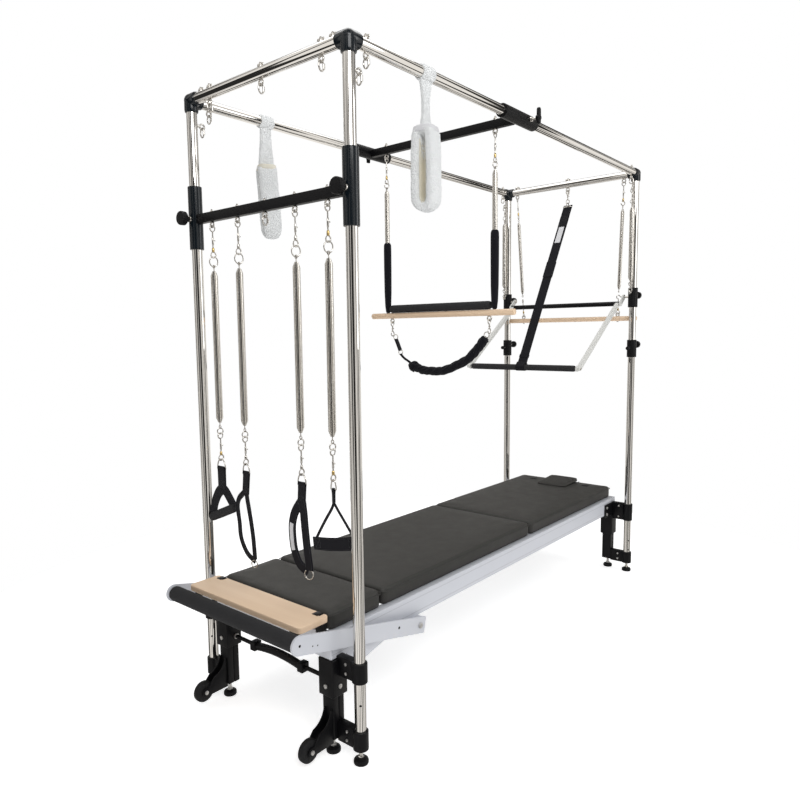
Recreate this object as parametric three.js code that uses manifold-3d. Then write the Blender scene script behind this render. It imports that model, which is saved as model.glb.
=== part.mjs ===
import * as THREE from 'three';
import { mergeVertices } from 'three/addons/utils/BufferGeometryUtils.js';
import Module from 'manifold-3d';

// Pilates trapeze table: a padded bed under a four-post tube canopy, with a spring crossbar and
// four strap handles at the near end, a sliding trapeze in the middle, and a push bar, a roll-down
// bar and their springs at the far end.
// Millimetres, +Z up. +X runs from the near (spring) end to the far (push bar) end, +Y to the left.
// While it is built, x = 0 is the near posts' axis, y = 0 the centreline and z = 0 the floor.

const wasm = await Module();
wasm.setup();

// Driving sizes of the canopy
const POST_PITCH_X = 2121;
const POST_PITCH_Y = 749;
const CANOPY_Z = 2100;
const TUBE = { r: 18, wall: 2, sides: 10 };
const SEAT = 0.3;
const PIVOT_PLAY = 0.6;
const OVERRUN = 4;
const SINK = 1;

const POST_Y = POST_PITCH_Y / 2;
const SIDES = { left: 1, right: -1 };

// Driving sizes of the bed
const BED = { x0: -35, x1: 2155, halfY: 290, railWidth: 40, z0: 310, z1: 390 };
const PAD_TOP_Z = 450;

// Finishes
const FINISH = {
  chrome: { color: 0xc9c8c4, roughness: 0.15, metalness: 1.0 },
  springSteel: { color: 0xa9a294, roughness: 0.3, metalness: 1.0 },
  blackPowder: { color: 0x16161a, roughness: 0.45, metalness: 0.0 },
  blackPlastic: { color: 0x121214, roughness: 0.55, metalness: 0.0 },
  foam: { color: 0x1b1b1b, roughness: 0.9, metalness: 0.0 },
  webbing: { color: 0x0d0d12, roughness: 0.85, metalness: 0.0 },
  vinyl: { color: 0x34332f, roughness: 0.6, metalness: 0.0 },
  silver: { color: 0xd9dbdf, roughness: 0.4, metalness: 0.6 },
  wood: { color: 0xe3bd8d, roughness: 0.55, metalness: 0.0 },
  fleece: { color: 0xf0f0ee, roughness: 1.0, metalness: 0.0 },
  rubber: { color: 0x101010, roughness: 0.8, metalness: 0.0 },
};

const table = new THREE.Group();

// Solids and how they are joined and cut

const v = (x, y, z) => new THREE.Vector3(x, y, z);

function solid(geometry) {
  geometry.deleteAttribute('normal');
  geometry.deleteAttribute('uv');
  const merged = mergeVertices(geometry);
  const vertProperties = merged.attributes.position.array;
  return new wasm.Manifold(new wasm.Mesh({ numProp: 3, vertProperties, triVerts: merged.index.array }));
}

function join(solids) {
  return solids.reduce((whole, piece) => whole.add(piece));
}

function cut(whole, tools) {
  return tools.reduce((rest, tool) => rest.subtract(tool), whole);
}

function addPart(name, body, finish, place = v(0, 0, 0), turn = new THREE.Quaternion()) {
  const { vertProperties, triVerts } = body.getMesh();
  const geometry = new THREE.BufferGeometry();
  geometry.setAttribute('position', new THREE.BufferAttribute(vertProperties, 3));
  geometry.setIndex(new THREE.BufferAttribute(triVerts, 1));
  geometry.computeVertexNormals();
  const mesh = new THREE.Mesh(geometry, new THREE.MeshStandardMaterial(finish));
  mesh.name = name;
  mesh.position.copy(place);
  mesh.quaternion.copy(turn);
  table.add(mesh);
}

// Basic shapes, each between named limits

function box([x0, x1], [y0, y1], [z0, z1]) {
  const geometry = new THREE.BoxGeometry(Math.abs(x1 - x0), Math.abs(y1 - y0), Math.abs(z1 - z0));
  geometry.translate((x0 + x1) / 2, (y0 + y1) / 2, (z0 + z1) / 2);
  return solid(geometry);
}

function rod(r, from, to, sides = TUBE.sides, endR = r) {
  const run = to.clone().sub(from);
  const geometry = new THREE.CylinderGeometry(endR, r, run.length(), sides);
  geometry.applyQuaternion(new THREE.Quaternion().setFromUnitVectors(v(0, 1, 0), run.normalize()));
  const middle = from.clone().add(to).multiplyScalar(1 / 2);
  geometry.translate(middle.x, middle.y, middle.z);
  return solid(geometry);
}

function pipe(r, boreR, from, to) {
  const overrun = to.clone().sub(from).setLength(OVERRUN);
  return cut(rod(r, from, to), [rod(boreR, from.clone().sub(overrun), to.clone().add(overrun))]);
}

const RING_STEPS = 6;
const RING_SIDES = 4;

// A wire ring about a centre, with a corner at its top and at its bottom; facing names the axis
// that its hole looks along
function ring(centre, r, wireR, facing) {
  const geometry = new THREE.TorusGeometry(r, wireR, RING_SIDES, RING_STEPS);
  if (facing === 'x') geometry.rotateY(Math.PI / 2);
  if (facing === 'y') geometry.rotateZ(Math.PI / 2).rotateX(Math.PI / 2);
  geometry.translate(centre.x, centre.y, centre.z);
  return solid(geometry);
}

// A flat outline given by points [along, up], with its thickness along y or along x
const SIDE_VIEW = new THREE.Matrix4().makeBasis(v(1, 0, 0), v(0, 0, 1), v(0, -1, 0));
const END_VIEW = new THREE.Matrix4().makeBasis(v(0, 1, 0), v(0, 0, 1), v(1, 0, 0));

function slab(points, low, high, view) {
  const shape = new THREE.Shape(points.map(([a, b]) => new THREE.Vector2(a, b)));
  const geometry = new THREE.ExtrudeGeometry(shape, { depth: high - low, bevelEnabled: false });
  geometry.translate(0, 0, low);
  geometry.applyMatrix4(view);
  return solid(geometry);
}

const sidePlate = (points, y0, y1) => slab(points, -Math.max(y0, y1), -Math.min(y0, y1), SIDE_VIEW);
const endPlate = (points, thick) => slab(points, -thick / 2, thick / 2, END_VIEW);

// The outline of a band of even width along a route of [along, up] points
function bandOutline(route, width) {
  const edge = (side) => route.map((point, i) => {
    const before = route[Math.max(i - 1, 0)];
    const after = route[Math.min(i + 1, route.length - 1)];
    const run = new THREE.Vector2(after[0] - before[0], after[1] - before[1]).setLength(width / 2);
    return [point[0] - side * run.y, point[1] + side * run.x];
  });
  return [...edge(1), ...edge(-1).reverse()];
}

// A round bar that follows a smooth route
function bentBar(route, r, sides, steps) {
  const section = new THREE.Shape().absarc(0, 0, r, 0, 2 * Math.PI);
  const path = new THREE.CatmullRomCurve3(route);
  const options = { steps, extrudePath: path, curveSegments: sides };
  return solid(new THREE.ExtrudeGeometry(section, options));
}

// Small hardware that repeats: eyebolts, rings and snap hooks

const EYE = { r: 9, wireR: 3, shankR: 4, nutR: 9, nutTopR: 4, nutHeight: 16 };
const LINK = { r: 8, wireR: 2, rodR: 3, play: 0.8 };
const HEX = 6;
const HEX_FLAT_SHARE = Math.cos(Math.PI / HEX);
const ROD_SIDES = 4;

// The height of the wire at the bottom of an eye that hangs under a face
const eyeWireZ = (faceZ) => faceZ + SINK - EYE.wireR - 2 * EYE.r;

// The bolt's eye under a bar and its nut on top, each let a little into the wall
function eyebolt(x, y, topZ, bottomZ, facing) {
  const nut = rod(EYE.nutR, v(x, y, topZ - SINK), v(x, y, topZ + EYE.nutHeight), HEX, EYE.nutTopR);
  return join([nut, ring(v(x, y, eyeWireZ(bottomZ) + EYE.r), EYE.r, EYE.wireR, facing)]);
}

// An eye whose shank stands out of a round tube along x; sign is the way it points
const SIDE_EYE_REACH = 40;
function sideEye(x, y, z, sign) {
  const centreX = x + sign * SIDE_EYE_REACH;
  const root = v(x + sign * (TUBE.r - SINK), y, z);
  const shank = rod(EYE.shankR, root, v(centreX - sign * EYE.r, y, z), ROD_SIDES);
  return join([shank, ring(v(centreX, y, z), EYE.r, EYE.wireR, 'y')]);
}

// The centre of a link that hangs on a wire at wireZ, or that pulls up on it
const hangingOn = (wireZ, wireR) => wireZ + wireR + LINK.play - (LINK.r - LINK.wireR);
const pullingOn = (wireZ, wireR) => wireZ - wireR - LINK.play + (LINK.r - LINK.wireR);

// A snap hook: a link above a short rod, on a vertical line
function snapHook(x, y, linkZ, footZ, facing) {
  return join([
    ring(v(x, y, linkZ), LINK.r, LINK.wireR, facing),
    rod(LINK.rodR, v(x, y, linkZ - LINK.r), v(x, y, footZ), ROD_SIDES),
  ]);
}

// Springs: one unbroken wire from a straight top end through its curls to a straight bottom end

const CURL_STEPS = 8;
const WIRE_SIDES = 5;
const TAPER_CURLS = 1;
const measuredGaps = [];

function springWire(topZ, bottomZ, stem, r, wireR, curls) {
  const centres = [v(0, 0, topZ + stem)];
  const steps = curls * CURL_STEPS;
  for (let i = 0; i <= steps; i += 1) {
    const turns = i / CURL_STEPS;
    const taper = Math.min(1, turns / TAPER_CURLS, (curls - turns) / TAPER_CURLS);
    const reach = (r - wireR) * Math.sin(taper * Math.PI / 2);
    const angle = 2 * Math.PI * turns;
    const z = topZ + (bottomZ - topZ) * i / steps;
    centres.push(v(reach * Math.cos(angle), reach * Math.sin(angle), z));
  }
  centres.push(v(0, 0, bottomZ - stem));
  measuredGaps.push(leastSelfGap(centres, wireR));
  return tubeThrough(centres, wireR);
}

function tubeThrough(centres, wireR) {
  const corners = [];
  const faces = [];
  const last = centres.length - 1;
  centres.forEach((centre, i) => {
    const along = centres[Math.min(i + 1, last)].clone().sub(centres[Math.max(i - 1, 0)]).normalize();
    const angle = 2 * Math.PI * (i - 1) / CURL_STEPS;
    const outward = v(Math.cos(angle), Math.sin(angle), 0);
    const side = along.clone().cross(outward).normalize();
    const across = side.clone().cross(along);
    for (let k = 0; k < WIRE_SIDES; k += 1) {
      const turn = 2 * Math.PI * k / WIRE_SIDES;
      const corner = centre.clone();
      corner.addScaledVector(across, wireR * Math.cos(turn));
      corner.addScaledVector(side, wireR * Math.sin(turn));
      corners.push(corner.x, corner.y, corner.z);
    }
  });
  for (let i = 0; i < last; i += 1) {
    for (let k = 0; k < WIRE_SIDES; k += 1) {
      const a = i * WIRE_SIDES + k;
      const b = i * WIRE_SIDES + (k + 1) % WIRE_SIDES;
      faces.push(a, b, b + WIRE_SIDES, a, b + WIRE_SIDES, a + WIRE_SIDES);
    }
  }
  for (let k = 1; k < WIRE_SIDES - 1; k += 1) {
    const end = last * WIRE_SIDES;
    faces.push(0, k + 1, k);
    faces.push(end, end + k, end + k + 1);
  }
  const geometry = new THREE.BufferGeometry();
  geometry.setAttribute('position', new THREE.Float32BufferAttribute(corners, 3));
  geometry.setIndex(faces);
  return solid(geometry);
}

// Distance from each centre to the centres at least half a curl further on, less the wire's width
function leastSelfGap(centres, wireR) {
  let least = Infinity;
  centres.forEach((centre, i) => {
    for (let k = i + CURL_STEPS / 2; k < centres.length; k += 1) {
      least = Math.min(least, centre.distanceTo(centres[k]) - 2 * wireR);
    }
  });
  return least;
}

// Canopy: posts, rails and corner caps

const CAP = { r: 23, core: 20, hubHalf: 24, armAlong: 48, drop: 60 };
const POST_EYE_DROP = 78;
const POST = { baseZ: 40, footR: 22.5, footTopR: 18, footZ: 28, stemR: 6, eyeZ: CANOPY_Z - POST_EYE_DROP };
const ENDS = { near: { x: 0, out: -1 }, far: { x: POST_PITCH_X, out: 1 } };

function foot(x, y) {
  const disc = rod(POST.footR, v(x, y, 0), v(x, y, POST.footZ), TUBE.sides, POST.footTopR);
  const stem = rod(POST.stemR, v(x, y, POST.footZ - SINK), v(x, y, POST.baseZ + SINK), HEX);
  return join([disc, stem]);
}

// A plug closes the post's lower end and holds the levelling stem
function post(x, y, inward) {
  const topZ = CANOPY_Z - CAP.core;
  const wall = pipe(TUBE.r, TUBE.r - TUBE.wall, v(x, y, POST.baseZ), v(x, y, topZ));
  const plug = rod(TUBE.r - TUBE.wall / 2, v(x, y, POST.baseZ), v(x, y, POST.baseZ + POST.footZ));
  return join([wall, plug, foot(x, y), sideEye(x, y, POST.eyeZ, inward)]);
}

function cornerCap(x, y, out, side) {
  const centre = v(x, y, CANOPY_Z);
  const alongX = v(x - out * CAP.armAlong, y, CANOPY_Z);
  const alongY = v(x, y - side * CAP.armAlong, CANOPY_Z);
  const down = v(x, y, CANOPY_Z - CAP.drop);
  const h = CAP.hubHalf;
  const hub = box([x - h, x + h], [y - h, y + h], [CANOPY_Z - h, CANOPY_Z + h]);
  const shell = join([hub, rod(CAP.r, centre, alongX), rod(CAP.r, centre, alongY), rod(CAP.r, centre, down)]);
  const bores = [alongX, alongY, down].map((tip) => {
    const run = tip.clone().sub(centre);
    const start = centre.clone().add(run.clone().setLength(CAP.core - SEAT));
    return rod(TUBE.r + SEAT, start, tip.clone().add(run.setLength(OVERRUN)));
  });
  return cut(shell, bores);
}

for (const [endName, end] of Object.entries(ENDS)) {
  for (const [sideName, side] of Object.entries(SIDES)) {
    const y = side * POST_Y;
    addPart(`post_${endName}_${sideName}`, post(end.x, y, -end.out), FINISH.chrome);
    addPart(`corner_cap_${endName}_${sideName}`, cornerCap(end.x, y, end.out, side), FINISH.blackPlastic);
  }
}

const RAIL_TOP_Z = CANOPY_Z + TUBE.r;
const RAIL_BOTTOM_Z = CANOPY_Z - TUBE.r;
const RAIL_EYE_Y = { near: [-267, 0, 267], far: [-313, 0, 313] };
const RAIL_BOLT_Y = 315;
const SIDE_RAIL_EYE_INSET = 85;

for (const [endName, end] of Object.entries(ENDS)) {
  const reach = POST_Y - CAP.core;
  const wall = pipe(TUBE.r, TUBE.r - TUBE.wall, v(end.x, -reach, CANOPY_Z), v(end.x, reach, CANOPY_Z));
  const eyes = RAIL_EYE_Y[endName].map((y) => eyebolt(end.x, y, RAIL_TOP_Z, RAIL_BOTTOM_Z, 'x'));
  addPart(`canopy_rail_${endName}`, join([wall, ...eyes]), FINISH.chrome);
}

for (const [sideName, side] of Object.entries(SIDES)) {
  const y = side * POST_Y;
  const x0 = CAP.core;
  const x1 = POST_PITCH_X - CAP.core;
  const wall = pipe(TUBE.r, TUBE.r - TUBE.wall, v(x0, y, CANOPY_Z), v(x1, y, CANOPY_Z));
  const eyeXs = [SIDE_RAIL_EYE_INSET, POST_PITCH_X - SIDE_RAIL_EYE_INSET];
  const eyes = eyeXs.map((x) => eyebolt(x, y, RAIL_TOP_Z, RAIL_BOTTOM_Z, 'y'));
  addPart(`canopy_rail_${sideName}`, join([wall, ...eyes]), FINISH.chrome);
}

// Spring crossbar: a rectangular tube between two sleeves that slide on the near posts

const CROSSBAR_DROP = 400;
const CROSSBAR = { z: CANOPY_Z - CROSSBAR_DROP, depth: 25, height: 32, eyeYs: [-280, -140, 0, 140, 280] };
const SLEEVE_REACH = { below: 103, above: 112 };
const SLEEVE = { r: 24, z0: CROSSBAR.z - SLEEVE_REACH.below, z1: CROSSBAR.z + SLEEVE_REACH.above };
const KNOB = { bossR: 11, bossReach: 35, screwR: 5, r: 24, thick: 20, neckR: 8, neck: 10, lobes: 12 };
const CROSSBAR_BOTTOM_Z = CROSSBAR.z - CROSSBAR.height / 2;

function springCrossbar() {
  const top = CROSSBAR.z + CROSSBAR.height / 2;
  const half = CROSSBAR.depth / 2;
  const bar = box([-half, half], [-(POST_Y - TUBE.r), POST_Y - TUBE.r], [CROSSBAR_BOTTOM_Z, top]);
  const solids = [bar];
  const cuts = [];
  for (const side of Object.values(SIDES)) {
    const y = side * POST_Y;
    solids.push(rod(SLEEVE.r, v(0, y, SLEEVE.z0), v(0, y, SLEEVE.z1)));
    solids.push(rod(KNOB.bossR, v(0, y, CROSSBAR.z), v(-KNOB.bossReach, y, CROSSBAR.z), HEX));
    cuts.push(rod(TUBE.r + SEAT, v(0, y, SLEEVE.z0 - OVERRUN), v(0, y, SLEEVE.z1 + OVERRUN)));
    const screwEnd = v(-KNOB.bossReach - OVERRUN, y, CROSSBAR.z);
    cuts.push(rod((KNOB.screwR + SEAT) / HEX_FLAT_SHARE, v(0, y, CROSSBAR.z), screwEnd, HEX));
  }
  const eyes = CROSSBAR.eyeYs.map((y) => eyebolt(0, y, top, CROSSBAR_BOTTOM_Z, 'x'));
  return join([cut(join(solids), cuts), ...eyes]);
}

addPart('spring_crossbar', springCrossbar(), FINISH.blackPowder);

// A clamping knob; its screw reaches through the sleeve and bears on the post
function clampKnob(x, y, z, out, bossReach) {
  const along = (d) => v(x + out * d, y, z);
  const headStart = bossReach + KNOB.neck;
  return join([
    rod(KNOB.screwR, along(TUBE.r + SEAT), along(headStart + SINK), HEX),
    rod(KNOB.neckR, along(bossReach + SEAT), along(headStart + SINK), HEX),
    rod(KNOB.r, along(headStart), along(headStart + KNOB.thick), KNOB.lobes),
  ]);
}

for (const [sideName, side] of Object.entries(SIDES)) {
  const knob = clampKnob(0, side * POST_Y, CROSSBAR.z, -1, KNOB.bossReach);
  addPart(`crossbar_knob_${sideName}`, knob, FINISH.blackPlastic);
}

// Long springs, each with its upper snap hook, teardrop ring and lower ring

const LONG_SPRING_DROP = { top: 183, length: 523 };
const longSpringTopZ = CROSSBAR.z - LONG_SPRING_DROP.top;
const LONG_SPRING = {
  topZ: longSpringTopZ, bottomZ: longSpringTopZ - LONG_SPRING_DROP.length,
  r: 12.5, wireR: 1.6, curls: 7, stem: 22,
};
const LONG_RING = { topR: 15, bottomR: 11, wireR: 2 };

const longTopRingZ = LONG_SPRING.topZ + LONG_SPRING.stem + LONG_RING.topR - LONG_RING.wireR;
const longBottomRingZ = LONG_SPRING.bottomZ - LONG_SPRING.stem - LONG_RING.bottomR + LONG_RING.wireR;
const longBottomWireZ = longBottomRingZ - LONG_RING.bottomR;

function longSpring() {
  const topLinkZ = hangingOn(eyeWireZ(CROSSBAR_BOTTOM_Z), EYE.wireR);
  return join([
    snapHook(0, 0, topLinkZ, longTopRingZ + LONG_RING.topR, 'y'),
    ring(v(0, 0, longTopRingZ), LONG_RING.topR, LONG_RING.wireR, 'x'),
    springWire(LONG_SPRING.topZ, LONG_SPRING.bottomZ, LONG_SPRING.stem, LONG_SPRING.r, LONG_SPRING.wireR,
      LONG_SPRING.curls),
    ring(v(0, 0, longBottomRingZ), LONG_RING.bottomR, LONG_RING.wireR, 'x'),
  ]);
}

// Handles: a snap hook, a ring and flat webbing, drawn in the plane of the crossbar
// Each route is given as shares of the handle's spread (sideways) and drop (down from the ring)

const STRAP = { thick: 4, ringR: 14, ringWireR: 2 };
const SNAP_LENGTH = 98;

const HANDLES = [
  {
    name: 'grip_handle_left', springY: 280, spread: 60, drop: 190, neckWidth: 34, branchWidth: 34, gripR: 16,
    neckShares: [[0, 0], [0, -0.4]],
    branchesShares: [
      [[0.05, -0.2], [0.3, -0.45], [0.72, -0.68], [0.93, -0.9]],
      [[-0.05, -0.2], [-0.3, -0.42], [-0.65, -0.56], [-0.88, -0.66]],
    ],
    gripShares: [[1.05, -0.96], [-1.05, -0.68]],
    ringShares: null,
  },
  {
    name: 'long_loop_left', springY: 140, spread: 54, drop: 292, neckWidth: 28, branchWidth: 16, gripR: 0,
    neckShares: [[0, 0], [0.13, -0.26]],
    branchesShares: [
      [[0.2, -0.2], [0.8, -0.335], [1, -0.43], [0.86, -0.6], [0.74, -0.78], [0.2, -0.93], [-0.6, -1]],
      [[0.05, -0.2], [-0.07, -0.36], [-0.3, -0.55], [-0.5, -0.75], [-0.6, -1]],
    ],
    gripShares: null,
    ringShares: [-0.5, -1.04],
  },
  {
    name: 'foot_loop_right', springY: -140, spread: 50, drop: 280, neckWidth: 30, branchWidth: 28, gripR: 0,
    neckShares: [[0, 0], [0.1, -0.27]],
    branchesShares: [
      [[0.15, -0.22], [0.72, -0.37], [1, -0.54], [0.8, -0.77], [0.35, -0.93], [-0.2, -0.99]],
      [[0, -0.22], [-0.15, -0.4], [-0.25, -0.62], [-0.4, -0.82], [-0.5, -0.99]],
    ],
    gripShares: null,
    ringShares: [-0.42, -1.02],
  },
  {
    name: 'wide_loop_right', springY: -280, spread: 80, drop: 185, neckWidth: 10, branchWidth: 10, gripR: 0,
    neckShares: [[0, 0.03], [0, -0.26]],
    branchesShares: [
      [[0, -0.2], [0.1, -0.37], [0.57, -0.66], [0.98, -0.96]],
      [[0, -0.2], [-0.28, -0.33], [-0.62, -0.53], [-0.72, -0.76]],
    ],
    bandShares: [[1, -1], [-0.72, -0.79]],
    bandWidth: 38,
    gripShares: null,
    ringShares: null,
  },
];

const handleTopLinkZ = hangingOn(longBottomWireZ, LONG_RING.wireR);
const handleRingZ = handleTopLinkZ - SNAP_LENGTH - STRAP.ringR;
const webbingTopZ = handleRingZ - STRAP.ringR + STRAP.ringWireR;

function handle(spec) {
  const place = ([side, up]) => [side * spec.spread, webbingTopZ + up * spec.drop];
  const solids = [
    snapHook(0, 0, handleTopLinkZ, handleTopLinkZ - SNAP_LENGTH, 'y'),
    ring(v(0, 0, handleRingZ), STRAP.ringR, STRAP.ringWireR, 'x'),
    endPlate(bandOutline(spec.neckShares.map(place), spec.neckWidth), STRAP.thick),
  ];
  for (const shares of spec.branchesShares) {
    solids.push(endPlate(bandOutline(shares.map(place), spec.branchWidth), STRAP.thick));
  }
  if (spec.bandShares) {
    solids.push(endPlate(bandOutline(spec.bandShares.map(place), spec.bandWidth), STRAP.thick));
  }
  if (spec.gripShares) {
    const [from, to] = spec.gripShares.map(place).map(([y, z]) => v(0, y, z));
    solids.push(rod(spec.gripR, from, to));
  }
  if (spec.ringShares) {
    const [y, z] = place(spec.ringShares);
    solids.push(ring(v(0, y, z), LONG_RING.bottomR, STRAP.ringWireR, 'x'));
  }
  return join(solids);
}

HANDLES.forEach((spec, i) => {
  const place = v(0, spec.springY, 0);
  addPart(`long_spring_${i + 1}`, longSpring(), FINISH.springSteel, place);
  addPart(spec.name, handle(spec), FINISH.webbing, place);
});

// Canopy slider: a crossbar between two sleeves that slide on the side rails, with T levers outside

const SLIDER_X = 915;
const SLIDER_REACH = { before: 115, after: 120 };
const SLIDER_BAR_DROP = 5;
const SLIDER = {
  x: SLIDER_X, x0: SLIDER_X - SLIDER_REACH.before, x1: SLIDER_X + SLIDER_REACH.after, r: 25,
  barZ: CANOPY_Z - SLIDER_BAR_DROP, depth: 25, height: 32, eyeY: 277,
};
const SLIDER_SLOT_REACH = { before: 35, after: 5 };
const SLIDER_SLOT = {
  x0: SLIDER_X - SLIDER_SLOT_REACH.before, x1: SLIDER_X + SLIDER_SLOT_REACH.after, depth: 4, height: 14,
};
const LEVER_AHEAD = 55;
const LEVER = {
  x: SLIDER_X + LEVER_AHEAD, shaftR: 4, collarR: 9, collar: 8, shaft: 26,
  halfX: 10, thick: 16, down: 25, up: 40,
};
const SLIDER_BOTTOM_Z = SLIDER.barZ - SLIDER.height / 2;

function canopySlider() {
  const halfX = SLIDER.depth / 2;
  const top = SLIDER.barZ + SLIDER.height / 2;
  const reach = POST_Y - TUBE.r;
  const solids = [box([SLIDER.x - halfX, SLIDER.x + halfX], [-reach, reach], [SLIDER_BOTTOM_Z, top])];
  const cuts = [];
  const levers = [];
  for (const side of Object.values(SIDES)) {
    const y = side * POST_Y;
    solids.push(rod(SLIDER.r, v(SLIDER.x0, y, CANOPY_Z), v(SLIDER.x1, y, CANOPY_Z)));
    cuts.push(rod(TUBE.r + SEAT, v(SLIDER.x0 - OVERRUN, y, CANOPY_Z), v(SLIDER.x1 + OVERRUN, y, CANOPY_Z)));
    const slotY = [y + side * (SLIDER.r - SLIDER_SLOT.depth), y + side * (SLIDER.r + OVERRUN)];
    const slotZ = [CANOPY_Z - SLIDER_SLOT.height / 2, CANOPY_Z + SLIDER_SLOT.height / 2];
    cuts.push(box([SLIDER_SLOT.x0, SLIDER_SLOT.x1], slotY, slotZ));
    const along = (d) => v(LEVER.x, y + side * (SLIDER.r + d), CANOPY_Z);
    levers.push(rod(LEVER.collarR, along(-SINK - SINK), along(LEVER.collar), HEX));
    levers.push(rod(LEVER.shaftR, along(0), along(LEVER.shaft + SINK), ROD_SIDES));
    const leverY = [y + side * (SLIDER.r + LEVER.shaft), y + side * (SLIDER.r + LEVER.shaft + LEVER.thick)];
    const leverZ = [CANOPY_Z - LEVER.down, CANOPY_Z + LEVER.up];
    levers.push(box([LEVER.x - LEVER.halfX, LEVER.x + LEVER.halfX], leverY, leverZ));
  }
  for (const y of [-SLIDER.eyeY, SLIDER.eyeY]) {
    levers.push(eyebolt(SLIDER.x, y, top, SLIDER_BOTTOM_Z, 'x'));
  }
  return join([cut(join(solids), cuts), ...levers]);
}

addPart('canopy_slider', canopySlider(), FINISH.blackPowder);

// Trapeze: two springs, two padded sleeves, a padded seat roll and a wooden bar

const TRAPEZE_DROP = { springTop: 175, springBottom: 400, bar: 724 };
const TRAPEZE_SPRING = {
  topZ: CANOPY_Z - TRAPEZE_DROP.springTop, bottomZ: CANOPY_Z - TRAPEZE_DROP.springBottom,
  r: 11, wireR: 1.8, curls: 4, stem: 10, ringR: 12,
};
const TRAPEZE_BAR = { z: CANOPY_Z - TRAPEZE_DROP.bar, r: 12.5, halfY: 370, eyeY: 253 };
const TRAPEZE_SLEEVE = { r: 17 };
const SEAT_ROLL = { r: 17 };

const trapezeWireZ = eyeWireZ(SLIDER_BOTTOM_Z);
const trapezeSpringFootZ = TRAPEZE_SPRING.bottomZ - TRAPEZE_SPRING.stem;

function trapezeSpring() {
  const spring = TRAPEZE_SPRING;
  const ringZ = spring.topZ + spring.stem + spring.ringR - LINK.wireR;
  return join([
    snapHook(0, 0, hangingOn(trapezeWireZ, EYE.wireR), ringZ + spring.ringR, 'y'),
    ring(v(0, 0, ringZ), spring.ringR, LINK.wireR, 'x'),
    springWire(spring.topZ, spring.bottomZ, spring.stem, spring.r, spring.wireR, spring.curls),
  ]);
}

const barTopZ = TRAPEZE_BAR.z + TRAPEZE_BAR.r;
const barBottomZ = TRAPEZE_BAR.z - TRAPEZE_BAR.r;

for (const [sideName, side] of Object.entries(SIDES)) {
  const place = v(SLIDER.x, side * SLIDER.eyeY, 0);
  addPart(`trapeze_spring_${sideName}`, trapezeSpring(), FINISH.springSteel, place);
  const sleeve = rod(TRAPEZE_SLEEVE.r, v(0, 0, barTopZ + SEAT), v(0, 0, trapezeSpringFootZ - SEAT));
  addPart(`trapeze_sleeve_${sideName}`, sleeve, FINISH.webbing, place);
}

const rollHalfY = SLIDER.eyeY - TRAPEZE_SLEEVE.r - SEAT;
const rollZ = barTopZ + SEAT + SEAT_ROLL.r;
const seatRoll = rod(SEAT_ROLL.r, v(SLIDER.x, -rollHalfY, rollZ), v(SLIDER.x, rollHalfY, rollZ));
addPart('trapeze_seat_roll', seatRoll, FINISH.foam);

function trapezeBar() {
  const wood = rod(TRAPEZE_BAR.r, v(SLIDER.x, -TRAPEZE_BAR.halfY, TRAPEZE_BAR.z),
    v(SLIDER.x, TRAPEZE_BAR.halfY, TRAPEZE_BAR.z));
  const eyes = [-TRAPEZE_BAR.eyeY, TRAPEZE_BAR.eyeY].map((y) => {
    return ring(v(SLIDER.x, y, barBottomZ - EYE.r + EYE.wireR), EYE.r, EYE.wireR, 'x');
  });
  return join([wood, ...eyes]);
}

addPart('trapeze_bar', trapezeBar(), FINISH.wood);

// Sling under the trapeze bar: snap hooks, a short strap with two rings, a knot and a padded tube
// Its places are [sideways, down] from the bar's eyes, as shares of the half span and of the dip

const SLING = { halfSpan: 253, dip: 212, tubeR: 15, knotR: 23, cordR: 4.5, strapR: 10, steps: 10 };
const SLING_SHARES = {
  leftHookFoot: [0.92, 0.36],
  strapFoot: [0.82, 0.6],
  knot: [0.5, 0.91],
  tube: [[0.5, 0.91], [0.21, 0.98], [-0.06, 1], [-0.38, 0.88], [-0.65, 0.7], [-0.83, 0.5], [-0.92, 0.37]],
  rightHookFoot: [-0.92, 0.4],
};

const slingWireZ = barBottomZ + EYE.wireR - 2 * EYE.r;

function sling() {
  const topZ = hangingOn(slingWireZ, EYE.wireR);
  const at = ([sideShare, downShare]) => {
    return v(SLIDER.x, sideShare * SLING.halfSpan, topZ - downShare * SLING.dip);
  };
  const hook = (side, footShares) => {
    const link = v(SLIDER.x, side * SLING.halfSpan, topZ);
    const start = link.clone().sub(v(0, 0, LINK.r));
    return join([ring(link, LINK.r, LINK.wireR, 'y'), rod(LINK.rodR, start, at(footShares), ROD_SIDES)]);
  };
  const knot = new THREE.SphereGeometry(SLING.knotR, HEX, HEX - 2);
  const knotAt = at(SLING_SHARES.knot);
  knot.translate(knotAt.x, knotAt.y, knotAt.z);
  const strapFoot = at(SLING_SHARES.strapFoot);
  return join([
    hook(1, SLING_SHARES.leftHookFoot),
    rod(SLING.strapR, at(SLING_SHARES.leftHookFoot), strapFoot, HEX),
    rod(SLING.cordR, strapFoot, knotAt, ROD_SIDES),
    solid(knot),
    bentBar(SLING_SHARES.tube.map(at), SLING.tubeR, HEX, SLING.steps),
    hook(-1, SLING_SHARES.rightHookFoot),
  ]);
}

addPart('trapeze_sling', sling(), FINISH.webbing);

// Fleece loops that hang on the side rails, turned half way towards the near end

const FLEECE_NECK_DROP = 155;
const FLEECE = {
  wrapR: 26, wrapLong: 60, neckZ: CANOPY_Z - FLEECE_NECK_DROP, neckWidth: 34, neckThick: 20, tubeR: 22,
};
const FLEECE_TURN = -Math.PI / 4;
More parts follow.
